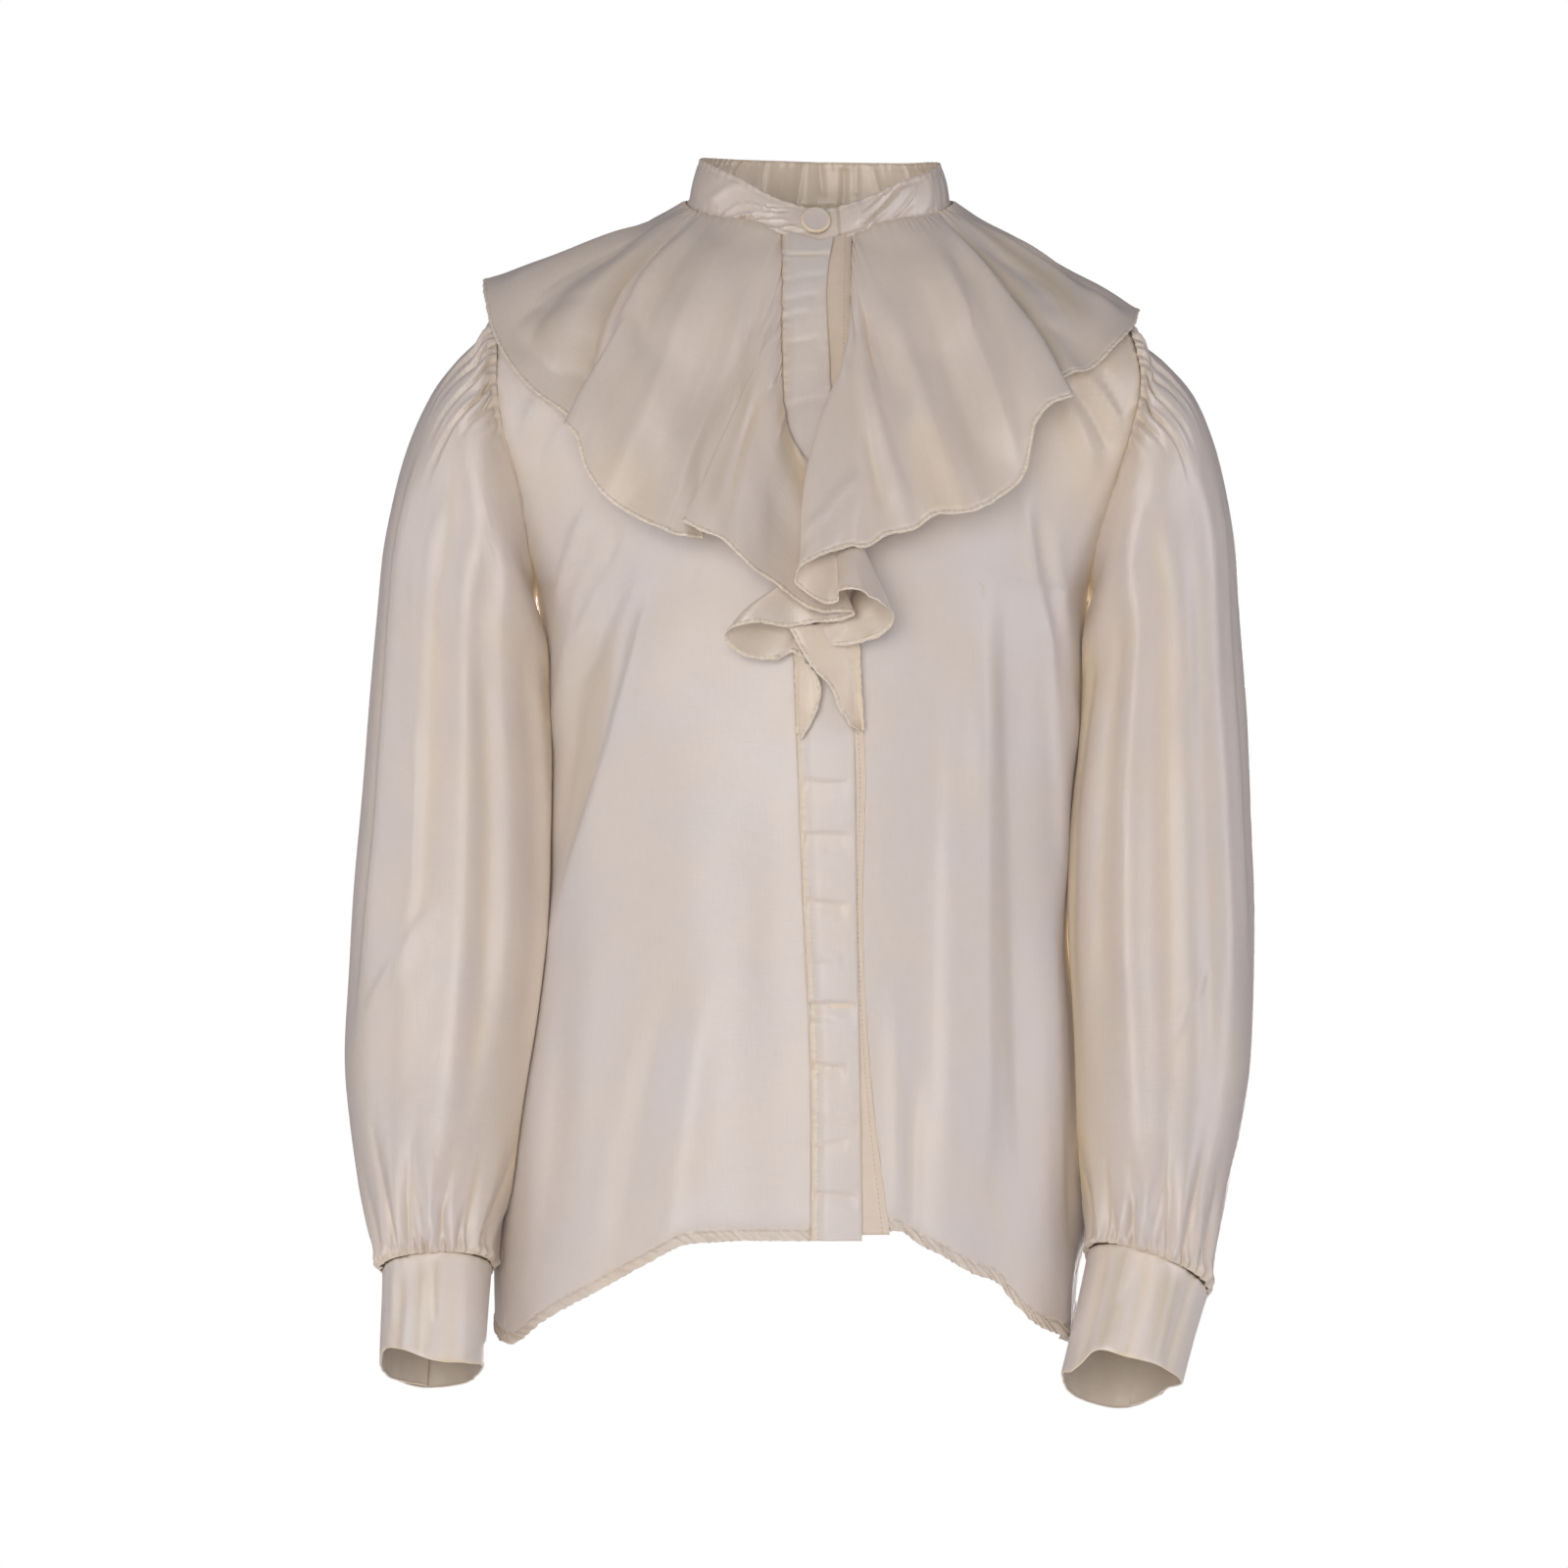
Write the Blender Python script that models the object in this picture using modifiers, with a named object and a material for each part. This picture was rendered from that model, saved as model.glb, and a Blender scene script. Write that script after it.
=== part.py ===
"""A silk blouse with a stand collar, a cape ruffle that falls into a jabot, full sleeves and deep cuffs.

It keeps the hollow form of a worn blouse. Sizes are in millimetres, made metres as a mesh is made.
The wearer faces -Y, so the wearer's right is at -X. The origin is midway between the neck points.
"""

import math

import bmesh
import bpy
import numpy as np

MM = 0.001

# Walls and seams.
CLOTH = 1.2
RUFFLE_CLOTH = 1.0
BAND_CLOTH = 1.4
SEAM_GAP = 0.3
WELD = 0.00001

# The opening that each sleeve is sewn into, an upright oval.
ARMHOLE_TOP = -60.0
ARMHOLE_FOOT = -215.0
ARMHOLE_HALF_DEPTH = 50.0

# The neck seam.
NECK_HALF_WIDTH = 74.0
NECK_FRONT = 58.0
NECK_BACK = 50.0
LEAST_REACH = 0.05

# Sections through the body, level by level.
# height, right half width, left half width, front depth, back depth, side seam depth right, left
BODY = (
    (-640, 175, 150, 114, 112, -30, -12),
    (-580, 175, 150, 113, 110, -26, -12),
    (-505, 171, 148, 112, 106, -16, -10),
    (-450, 159, 143, 112, 101, -8, -6),
    (-400, 152, 138, 113, 97, -3, -3),
    (-345, 150, 139, 115, 95, 0, 0),
    (-305, 149, 144, 117, 97, 0, 0),
    (-250, 152, 147, 118, 102, 0, 0),
    (-215, 156, 148, 117, 106, 0, 0),
    (-190, 160, 152, 115, 108, 0, 0),
    (-155, 165, 162, 109, 108, 0, 0),
    (-133, 172, 169, 104, 106, 0, 0),
    (-90, 177, 175, 89, 98, 0, 0),
    (-60, 172, 162, 77, 88, 0, 0),
    (-28, 119, 107, 59, 72, 0, 0),
    (-12, 93, 86, 46, 60, 0, 0),
    (0, 74, 74, 41, 51, 0, 0),
    (8, 70, 70, 38, 48, 0, 0),
)

# How far the side is pressed in by the arm beside it: height, right, left.
SIDE_DENTS = ((-640, 4, 18), (-600, 2, 11), (-560, 0, 0), (-500, 0, 0))
DENT_START = 0.68

# Rows of a panel from hem to neck edge: height at the side, and where the row meets the centre.
SIDE_ROWS = (-570, -510, -450, -395, -340, -290, -250)
ARMHOLE_ROWS = (ARMHOLE_FOOT, -200, -178, -137, -97, -74, ARMHOLE_TOP)
SHOULDER_ROWS = (-38, -18)
SIDE_TO_CENTRE = ((-629, -629), (-215, -215), (-137, -152), (-60, -88), (0, -27.5))
ROW_BEND = 1.5

# Edges of a panel from the centre (share 0) to the side (share 1): share, height.
HEM_RIGHT = (
    (0, -566),
    (0.22, -567.4),
    (0.31, -569.6),
    (0.38, -577.7),
    (0.52, -593.4),
    (0.62, -603),
    (0.75, -615),
    (0.86, -625),
    (0.93, -629),
    (1, -629),
)
HEM_LEFT = (
    (0, -561),
    (0.05, -562),
    (0.09, -568),
    (0.15, -573),
    (0.27, -585),
    (0.37, -592),
    (0.42, -601),
    (0.5, -612),
    (0.66, -622),
    (0.85, -628),
    (1, -629),
)
HEM_BACK = ((0, -575), (0.35, -582), (0.6, -600), (0.85, -623), (0.95, -629), (1, -629))
NECKLINE_FRONT = ((0, -27.5), (0.145, -20), (0.275, -14.7), (0.43, -11.5), (0.7, -6), (1, 0))
NECKLINE_BACK = ((0, 3), (0.5, 2), (1, 0))

# The front edges, by height: placket's seam, placket's free edge, button band's seam.
FRONT_EDGES = (
    (-566, -4, 22, 36),
    (-486, -4, 21, 26),
    (-390, -8, 19, 21),
    (-312, -11, 18, 22.5),
    (-267, -12.5, 17, 20),
    (-180, -17, 11, 17),
    (-95, -20, 5, 14.5),
    (-42, -20, 4.5, 15.5),
    (-25, -20, 7.5, 16),
)
PLACKET_RISE = 2.0
PLACKET_RAMP = 8.0
BUTTON_BAND_START = 10.0
BUTTON_BAND_SHORT = 3.0
BAND_TOP = -26.0

# The largest folds of the body: x and height of the top, x and height of the foot, half width, rise.
FRONT_FOLDS = (
    (74, -300, 72, -560, 17, 6),
    (92, -225, 110, -430, 13, 5),
    (112, -285, 139, -500, 13, 7),
    (-110, -235, -128, -310, 13, 4),
    (-64, -420, -84, -575, 17, 5),
    (-40, -330, -44, -560, 20, -4),
)
BACK_FOLDS = (
    (-60, -190, -84, -575, 18, 6),
    (20, -230, 34, -580, 20, 5),
    (84, -200, 108, -560, 16, 6),
    (-14, -260, -30, -570, 18, -4),
)
FOLD_START = 0.33
FOLD_FADE_AT = 1.25
FOLD_FADE = 0.25

# Rings of a sleeve, from armhole to cuff: outer x and height, inner x and height, middle depth,
# half depth, lift of the front edge, height of the gathers.
RIGHT_SLEEVE = (
    (-172, -60, -156, -215, 0, 50, 0, 0),
    (-186, -75, -158, -221, 0, 56, 0, 2.5),
    (-201, -88, -155, -229, 1, 60, 0, 3),
    (-215, -106, -150, -240, 2, 62, 0, 2),
    (-229, -138, -145, -256, 4, 62, 0, 1),
    (-239, -180, -146, -274, 4, 61, 0, 0),
    (-245, -230, -143, -300, 7, 59, 0, 0),
    (-251.5, -310, -140, -350, 10, 57, 0, 0),
    (-259, -400, -141, -418, 10.5, 56, 0.5, 0),
    (-263, -466, -148, -476, 3, 56, 2, 1),
    (-259.5, -508, -158, -515, -8, 54, 5, 2),
    (-253, -541, -168, -547, -20, 50, 8, 3.5),
    (-245, -569, -177, -570, -31, 44, 11, 3.5),
    (-239.5, -586.5, -182.5, -585.5, -38, 36.2, 12, 0.3),
)
LEFT_SLEEVE = (
    (168, -60, 148, -215, 0, 50, 0, 0),
    (178, -76, 151, -221, 0, 56, 0, 2.5),
    (194, -89, 148, -229, 1, 60, 0, 3),
    (209, -107, 144, -240, 2, 62, 0, 2),
    (220, -137, 140, -254, 4, 62, 0, 1),
    (228, -177, 142, -272, 4, 61, 0, 0),
    (232, -226, 138, -298, 6, 59, 0, 0),
    (237.5, -308, 132, -346, 8.5, 57, 0, 0),
    (240.5, -392, 130, -412, 5, 56, 0.5, 0),
    (238, -465, 134, -474, -6, 56, 3, 1),
    (232, -510, 138, -515, -18, 53, 6, 2),
    (224, -545, 143, -543, -30, 48, 10, 3.5),
    (217, -575, 146, -565, -41, 41, 13, 3.5),
    (211.4, -600, 148, -577, -47, 32.2, 14, 0.3),
)
SLEEVE_ROUND = 32
SLEEVE_GATHERS = 8
ARMHOLE_BLEND_RINGS = 4.0
ARMHOLE_STEP = 3.2
BODY_CLEARANCE = 3.6
UNDERARM_BLEND = 12.0

# Rings of a cuff, top and foot: outer x and height, inner x and height, middle depth, half depth, lift.
RIGHT_CUFF = ((-239, -589.3, -181, -586.3, -38, 36, 12), (-239, -642, -185, -643, -54, 36, 11))
LEFT_CUFF = ((211, -601.2, 148, -578.2, -47, 32, 14), (196, -646, 132, -647, -66, 33, 15))
CUFF_ROUND = 28
CUFF_LAP = 0.1
CUFF_LAP_AT = 0.78
LAP_STEP = 2.0

# The stand collar by angle from the front: angle, x of the top edge, depth and height of the top edge.
COLLAR_TOP = (
    (-180, 0, 50, 30),
    (-135, -44, 38, 30),
    (-90, -65, 2, 26),
    (-60, -56, -26, 18),
    (-45, -46, -37, 12),
    (-20, -22, -46, -1.5),
    (0, 0, -48, -7.5),
    (20, 22, -47, -2),
    (45, 47, -37, 10),
    (60, 58, -26, 15),
    (90, 66, 2, 23.5),
    (135, 46, 38, 28),
    (180, 0, 50, 30),
)
COLLAR_START = 17.0
COLLAR_TURN = 385.0
COLLAR_ROUND = 40
COLLAR_FOOT_DROP = 1.5
COLLAR_INSET = 1.2
COLLAR_BULGE = 1.5
COLLAR_LAP_SHARE = 0.125
NECK_HEIGHT = ((0, -27.5), (18, -20), (34, -14.7), (52, -11.5), (72, -5), (90, 0), (130, 2), (180, 3))

# The seam of a ruffle: neck angle at the front corner, and heights where its front run starts and ends.
RUFFLE_CORNER_ANGLE = 16.0
RUFFLE_FRONT_TOP = -24.0
RUFFLE_TAIL = -297.0
RUFFLE_NECK_LIFT = 2.6
RUFFLE_OFF_PANEL = 2.3
RUFFLE_OFF_PLACKET = 4.6
RUFFLE_ROWS = 5

# Where the seam turns the front corner, as places along it.
CORNER_FROM = 0.92
CORNER_LENGTH = 0.12

# How a rib bows off the body: the ring that it leaves squarely, its tilt up and the place of its crest.
BOW_HALF_WIDTH = 170.0
BOW_DEPTH = 90.0
BOW_UP = 0.35
BOW_CREST = 0.8

# Hem of a ruffle, rib by rib. The seam is 0 at the centre back, 1 at the front corner and 2 at the tail.
# seam, hem x, hem depth, hem height, lift of the middle
RIGHT_RUFFLE = (
    (0.0, -0.6, 106, -146, 8),
    (0.10, -34, 118, -150, 8),
    (0.19, -66, 103, -142, 8),
    (0.28, -98, 104, -138, 8),
    (0.37, -132, 84, -114, 8),
    (0.46, -160, 64, -84, 8),
    (0.54, -180, 36, -54, 2),
    (0.60, -186, 8, -41, -2),
    (0.63, -184, -16, -54, -1),
    (0.655, -178, -40, -75, 4),
    (0.675, -167, -58, -94, 6),
    (0.695, -152, -72, -110, 5),
    (0.71, -138, -84, -120, 3),
    (0.722, -127, -87, -131, 2),
    (0.735, -128, -95, -131, 4),
    (0.75, -137, -104, -127, 8),
    (0.775, -131, -110, -134, 8),
    (0.81, -126, -114, -150, 8),
    (0.85, -117, -118, -165, 8),
    (0.90, -102, -123, -176, 8),
    (0.96, -86, -128, -184, 8),
    (1.05, -72, -131, -189, 6),
    (1.09, -63, -129, -189, 6),
    (1.12, -67, -134, -184, 6),
    (1.15, -73, -140, -181, 6),
    (1.19, -64, -144, -186, 6),
    (1.23, -51, -147, -192, 6),
    (1.27, -38, -147, -205, 5),
    (1.31, -25, -144, -214, 4),
    (1.35, -4, -142, -228, 4),
    (1.39, 12, -140, -229, 4),
    (1.42, 18, -137, -230, 4),
    (1.45, 13, -134, -233, 4),
    (1.49, -4, -134, -235, 4),
    (1.54, -20, -136, -237, 5),
    (1.58, -34, -139, -235, 6),
    (1.61, -44, -139, -238, 6),
    (1.63, -49, -134, -244, 6),
    (1.65, -45, -129, -250, 6),
    (1.68, -35, -126, -254, 5),
    (1.72, -23, -125, -254, 4),
    (1.79, -13, -125, -251, 2),
    (1.83, -5, -126, -260, 2),
    (1.87, -1, -126, -268, 2),
    (1.92, -2, -125, -280, 2),
    (1.97, -7, -124, -291, 1),
)
LEFT_RUFFLE = (
    (0.0, 0.6, 106, -146, 8),
    (0.10, 32, 103, -148, 8),
    (0.19, 66, 116, -146, 8),
    (0.28, 100, 94, -136, 8),
    (0.37, 130, 90, -118, 8),
    (0.46, 156, 64, -92, 8),
    (0.54, 173, 36, -64, 2),
    (0.60, 178, 8, -56, -3),
    (0.63, 176, -14, -60, -2),
    (0.655, 172, -34, -69, 0),
    (0.675, 162, -54, -80, 3),
    (0.695, 146, -72, -95, 4),
    (0.71, 136, -80, -98, 3),
    (0.722, 125, -85, -105, 2),
    (0.735, 127, -95, -109, 4),
    (0.75, 135, -102, -112, 8),
    (0.775, 123, -110, -117, 8),
    (0.80, 114, -114, -128, 8),
    (0.82, 112, -116, -139, 8),
    (0.85, 108, -119, -156, 8),
    (0.89, 95, -123, -168, 8),
    (0.94, 80, -128, -176, 8),
    (1.00, 61, -133, -178, 8),
    (1.05, 48, -137, -186, 8),
    (1.09, 35, -141, -188, 7),
    (1.13, 25, -143, -195, 6),
    (1.17, 15, -146, -195, 6),
    (1.20, 6, -150, -198, 6),
    (1.23, -2, -155, -201, 6),
    (1.26, -11, -158, -207, 6),
    (1.29, -14, -157, -214, 6),
    (1.32, -11, -153, -218, 6),
    (1.36, -1, -150, -224, 6),
    (1.40, 8, -149, -225, 6),
    (1.44, 10, -152, -219, 6),
    (1.47, 18, -156, -218, 6),
    (1.51, 27, -156, -223, 7),
    (1.55, 34, -150, -228, 8),
    (1.58, 37, -140, -233, 8),
    (1.61, 34, -131, -240, 7),
    (1.65, 22, -129, -245, 6),
    (1.69, 7, -129, -247, 5),
    (1.73, -6, -130, -246, 4),
    (1.77, -14, -131, -243, 3),
    (1.83, -8, -132, -255, 2),
    (1.88, 4, -131, -268, 2),
    (1.93, 11, -129, -281, 2),
    (1.97, 16, -127, -288, 1),
)

# Covered buttons, and where each sits on its band, in rows and columns of the band.
COLLAR_BUTTON_WIDTH = 16.0
CUFF_BUTTON_WIDTH = 11.0
BUTTON_DEPTH = 3.2
BUTTON_BEVEL = 0.9
BUTTON_LIFT = 0.8
BUTTON_ROUND = 20
BUTTON_RIM_ROUND = 0.5
COLLAR_BUTTON_SEAT = (1.22, 38.95)
CUFF_BUTTON_SEAT = (0.5, 26.5)

FRONT_COLUMNS = 9
BACK_COLUMNS = 14
BAND_ROWS = 14
PLACKET_COLUMNS = (0, 0.2, 0.4, 0.7, 1)
BUTTON_BAND_COLUMNS = (0, 0.33, 0.67, 1)


def curve(table, at):
    """The columns of a table at each key, on a smooth curve through its rows."""
    rows = np.asarray(table, float)
    keys = rows[:, 0]
    values = rows[:, 1:]
    slopes = np.gradient(values, keys, axis=0)
    at = np.clip(np.asarray(at, float), keys[0], keys[-1])
    low = np.clip(np.searchsorted(keys, at, side="right") - 1, 0, len(keys) - 2)
    span = keys[low + 1] - keys[low]
    t = ((at - keys[low]) / span)[..., None]
    span = span[..., None]
    first = (1 + 2 * t) * (1 - t) ** 2 * values[low] + t * (1 - t) ** 2 * span * slopes[low]
    second = t * t * (3 - 2 * t) * values[low + 1] + t * t * (t - 1) * span * slopes[low + 1]
    return first + second


def smooth_step(share):
    share = np.clip(share, 0, 1)
    return share * share * (3 - 2 * share)


def fold_rise(x, height, folds):
    """How far the folds lift the cloth at a place on the body."""
    rise = np.zeros(np.shape(x))
    for top_x, top, foot_x, foot, width, lift in folds:
        along = np.clip((top - height) / (top - foot), 0, 1)
        across = (x - (top_x + (foot_x - top_x) * along)) / width
        grow = smooth_step(along / FOLD_START) * smooth_step((FOLD_FADE_AT - along) / FOLD_FADE)
        rise += lift * grow * np.exp(-(across**2))
    return rise


def armhole_depth(height):
    middle = (ARMHOLE_TOP + ARMHOLE_FOOT) / 2
    half = (ARMHOLE_TOP - ARMHOLE_FOOT) / 2
    across = np.clip(1 - ((height - middle) / half) ** 2, 0, 1)
    return ARMHOLE_HALF_DEPTH * np.sqrt(across)


def section(height, side, face):
    """Half width and depth of the ring at a height, and the angle of its end at the side."""
    levels = curve(BODY, height)
    half = levels[..., 0 if side < 0 else 1]
    depth = levels[..., 2 if face < 0 else 3]
    edge = -face * levels[..., 4 if side < 0 else 5] - armhole_depth(height)
    end = np.arccos(np.clip(-edge / depth, -1, 1))
    return half / np.sin(end), depth, end


def panel_point(share, height, side, face, start):
    """A point of a body panel. The share runs from the centre edge at x = start to the side edge."""
    width, depth, end = section(height, side, face)
    first = np.arcsin(np.clip(start / width, -1, 1))
    angle = first + share * (end - first)
    x = width * np.sin(angle)
    lift = fold_rise(side * x, height, FRONT_FOLDS if face < 0 else BACK_FOLDS)
    dent = curve(SIDE_DENTS, height)[..., 0 if side < 0 else 1]
    x = x - dent * smooth_step((share - DENT_START) / (1 - DENT_START))
    return np.stack([side * x, face * (depth + lift) * np.cos(angle), height], -1)


def front_depth(x, height):
    """Depth of the front's cloth at a place near the centre."""
    levels = curve(BODY, height)
    half = np.where(x < 0, levels[..., 0], levels[..., 1])
    depth = levels[..., 2] + fold_rise(x, height, FRONT_FOLDS)
    return -depth * np.sqrt(np.clip(1 - (x / half) ** 2, 0, 1))


def row_heights(share, hem, neckline):
    """Heights of a panel's rows, from its hem to its neck edge, at each share of its width."""
    side = (hem[-1][1], *SIDE_ROWS, *ARMHOLE_ROWS, *SHOULDER_ROWS, neckline[-1][1])
    side = np.array(side, float)
    centre = curve(SIDE_TO_CENTRE, side)[:, 0]
    side_share = (side - side[0]) / (side[-1] - side[0])
    centre_share = (centre - centre[0]) / (centre[-1] - centre[0])
    rows = centre_share[:, None] + (side_share - centre_share)[:, None] * share**ROW_BEND
    foot = curve(hem, share)[:, 0]
    return foot + (curve(neckline, share)[:, 0] - foot) * rows


def outside_body(points, clearance, amount=1.0):
    """Moves points that are too near the body outwards, level by level."""
    x, y, height = np.moveaxis(points, -1, 0)
    front = y < 0
    sides = [[section(height, side, face)[:2] for face in (-1, 1)] for side in (-1, 1)]
    half, depth = np.where(x < 0, np.where(front, *sides[0]), np.where(front, *sides[1]))
    rise = np.where(front, fold_rise(x, height, FRONT_FOLDS), fold_rise(x, height, BACK_FOLDS))
    depth = depth + rise
    reach = np.hypot(x / (half + clearance), y / (depth + clearance))
    scale = 1 + (np.maximum(1 / np.maximum(reach, LEAST_REACH), 1) - 1) * amount
    moved = points.copy()
    moved[..., :2] *= scale[..., None]
    return moved


def silk(name, colour, roughness):
    """One woven silk, ivory with a soft sheen."""
    material = bpy.data.materials.new(name)
    material.use_nodes = True
    shader = material.node_tree.nodes["Principled BSDF"]
    shader.inputs["Base Color"].default_value = (*colour, 1)
    shader.inputs["Roughness"].default_value = roughness
    return material


def add_object(name, work, collection, colour, roughness=0.45):
    mesh = bpy.data.meshes.new(name)
    work.to_mesh(mesh)
    work.free()
    mesh.materials.append(silk(name, colour, roughness))
    made = bpy.data.objects.new(name, mesh)
    collection.objects.link(made)
    return made


def add_sheet(name, points, collection, colour, wall, grow, closed=False, turned=False):
    """A cloth wall on a grid of points. It grows outwards (1) or to both sides (0)."""
    rows, columns = points.shape[:2]
    work = bmesh.new()
    bmesh.ops.create_grid(work, x_segments=columns - 1, y_segments=rows - 1, size=1)
    for vertex, place in zip(work.verts, points.reshape(-1, 3)):
        vertex.co = place * MM
    if closed:
        bmesh.ops.remove_doubles(work, verts=work.verts, dist=WELD)
    if turned:
        bmesh.ops.reverse_faces(work, faces=work.faces)
    made = add_object(name, work, collection, colour)
    shell = made.modifiers.new("wall", "SOLIDIFY")
    shell.thickness = wall * MM
    shell.offset = grow
    return made


def front_panel(side, hem, start_column):
    """A front, from the seam of its band to the side seam, armhole and shoulder seam."""
    share = np.linspace(0, 1, FRONT_COLUMNS + 1)
    heights = row_heights(share, hem, NECKLINE_FRONT)
    start = curve(FRONT_EDGES, heights)[..., start_column] * side + SEAM_GAP
    points = panel_point(share[None, :], heights, side, -1, start)
    points[-1] = outside_neck(points[-1])
    points[:, -1] += seam_inset(points[:, -1], -1)
    return points


def back_panel():
    share = np.linspace(-1, 1, BACK_COLUMNS + 1)
    right = row_heights(-share[share < 0], HEM_BACK, NECKLINE_BACK)
    left = row_heights(share[share >= 0], HEM_BACK, NECKLINE_BACK)
    points = np.concatenate(
        [
            panel_point(-share[share < 0][None, :], right, -1, 1, 0.0),
            panel_point(share[share >= 0][None, :], left, 1, 1, 0.0),
        ],
        axis=1,
    )
    points[-1] = outside_neck(points[-1])
    points[:, 0] += seam_inset(points[:, 0], 1)
    points[:, -1] += seam_inset(points[:, -1], 1)
    return points


def outside_neck(points):
    """Moves points of the neck edge that are inside the neck seam out to it."""
    depth = np.where(points[..., 1] < 0, NECK_FRONT, NECK_BACK)
    reach = np.hypot(points[..., 0] / NECK_HALF_WIDTH, points[..., 1] / depth)
    moved = points.copy()
    moved[..., :2] *= np.maximum(1 / np.maximum(reach, LEAST_REACH), 1)[..., None]
    return moved


def seam_inset(edge, face):
    """Draws the side and shoulder edge of a panel back by half a seam gap."""
    inset = np.zeros(edge.shape)
    inset[:, 1] = face * SEAM_GAP
    return inset


def placket_points():
    """The over band of the closing, level with the right front at its seam and raised past it."""
    heights = np.linspace(FRONT_EDGES[0][0], BAND_TOP, BAND_ROWS + 1)
    edges = curve(FRONT_EDGES, heights)
    across = np.array(PLACKET_COLUMNS)
    first = edges[:, :1] + 2 * SEAM_GAP
    x = first + (edges[:, 1:2] - first) * across
    height = np.repeat(heights[:, None], len(across), axis=1)
    rise = PLACKET_RISE * smooth_step((x - edges[:, :1]) / PLACKET_RAMP)
    return np.stack([x, front_depth(x, height) - rise, height], -1)


def button_band_points():
    """The under band, from beneath the placket to the left front."""
    heights = np.linspace(FRONT_EDGES[0][0] + BUTTON_BAND_SHORT, BAND_TOP, BAND_ROWS + 1)
    edges = curve(FRONT_EDGES, heights)
    first = edges[:, 0] + BUTTON_BAND_START
    across = np.array(BUTTON_BAND_COLUMNS)
    x = first[:, None] + (edges[:, 2] - 2 * SEAM_GAP - first)[:, None] * across
    height = np.repeat(heights[:, None], len(across), axis=1)
    return np.stack([x, front_depth(x, height), height], -1)


def neck_point(angle, out=0.0, up=0.0):
    """A point of the neck seam, by the angle from the front in degrees, negative on the right."""
    turn = np.radians(angle)
    depth = np.where(np.abs(angle) < 90, NECK_FRONT, NECK_BACK)
    x = (NECK_HALF_WIDTH + out) * np.sin(turn)
    y = -(depth + out) * np.cos(turn)
    return np.stack([x, y, curve(NECK_HEIGHT, np.abs(angle))[..., 0] + up], -1)


def collar_points():
    """The stand collar, one turn and a lap. Its right end lies over its left end at the front."""
    turn = np.linspace(0, 1, COLLAR_ROUND + 1)
    angle = -COLLAR_START + COLLAR_TURN * turn
    wrapped = (angle + 180) % 360 - 180
    inner = LAP_STEP * (1 - smooth_step(turn / COLLAR_LAP_SHARE))
    foot = neck_point(wrapped, -inner - BAND_CLOTH - COLLAR_INSET, -COLLAR_FOOT_DROP)
    top = curve(COLLAR_TOP, wrapped)
    top[:, :2] *= (1 - inner / NECK_HALF_WIDTH)[:, None]
    middle = (foot + top) / 2
    middle[:, :2] *= 1 + COLLAR_BULGE / NECK_HALF_WIDTH
    return np.stack([foot, middle, top])


def sleeve_rings(table, side):
    """Rings of a sleeve. The turn starts at the shoulder and runs to the front, underarm and back."""
    rows = np.asarray(table, float)
    turn = np.linspace(0, 2 * math.pi, SLEEVE_ROUND + 1)
    outer = rows[:, None, :2]
    inner = rows[:, None, 2:4]
    middle = (outer + inner) / 2
    flat = middle + (outer - inner) / 2 * np.cos(turn)[None, :, None]
    depth = rows[:, 4, None] - rows[:, 5, None] * np.sin(turn)
    height = flat[..., 1] + rows[:, 6, None] * np.sin(turn)
    points = np.stack([flat[..., 0], depth, height], -1)
    centre = np.stack([middle[:, 0, 0], rows[:, 4], middle[:, 0, 1]], -1)[:, None, :]
    away = points - centre
    away /= np.linalg.norm(away, axis=-1, keepdims=True)
    gather = rows[:, 7, None] * np.cos(SLEEVE_GATHERS * turn)
    points += away * gather[..., None]
    ring = np.arange(len(rows))[:, None]
    follow = np.clip(1 - ring / ARMHOLE_BLEND_RINGS, 0, 1)
    edge = side * curve(BODY, points[0, :, 2])[:, 0 if side < 0 else 1]
    points[..., 0] += follow * (edge - points[0, :, 0])[None, :]
    points[0, :, 0] += side * ARMHOLE_STEP
    amount = smooth_step((ARMHOLE_FOOT - points[..., 2]) / UNDERARM_BLEND)
    return outside_body(points, BODY_CLEARANCE, amount)


def cuff_points(table):
    """A cuff, one turn and a lap at the back."""
    rows = np.asarray(table, float)
    share = np.linspace(0, 1 + CUFF_LAP, CUFF_ROUND + 1)
    turn = 2 * math.pi * (share + CUFF_LAP_AT)
    under = LAP_STEP * (1 - smooth_step(share / CUFF_LAP - 1)) * (share < 2 * CUFF_LAP)
    middle = (rows[:, None, :2] + rows[:, None, 2:4]) / 2
    half = (rows[:, None, :2] - rows[:, None, 2:4]) / 2
    width = np.linalg.norm(half, axis=-1)
    scale = 1 - under / width
    flat = middle + half * (np.cos(turn) * scale)[..., None]
    depth = rows[:, 4, None] - rows[:, 5, None] * np.sin(turn) * scale
    height = flat[..., 1] + rows[:, 6, None] * np.sin(turn) * scale
    return np.stack([flat[..., 0], depth, height], -1)


def ruffle_seam(key, side):
    """Points of a ruffle's seam: round the neck to the front corner, then down the band's edge."""
    angle = 180 - np.clip(key, 0, 1) * (180 - RUFFLE_CORNER_ANGLE)
    neck = neck_point(side * angle, SEAM_GAP, RUFFLE_NECK_LIFT)
    neck[..., 0] += side * SEAM_GAP * (key == 0)
    height = RUFFLE_FRONT_TOP + (RUFFLE_TAIL - RUFFLE_FRONT_TOP) * np.clip(key - 1, 0, 1)
    edge = curve(FRONT_EDGES, height)[..., 0 if side < 0 else 2] + side * 2 * SEAM_GAP
    front = np.stack([edge, front_depth(edge, height) - RUFFLE_OFF_PANEL, height], -1)
    share = smooth_step((key - CORNER_FROM) / CORNER_LENGTH)[:, None]
    return neck + (front - neck) * share


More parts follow.
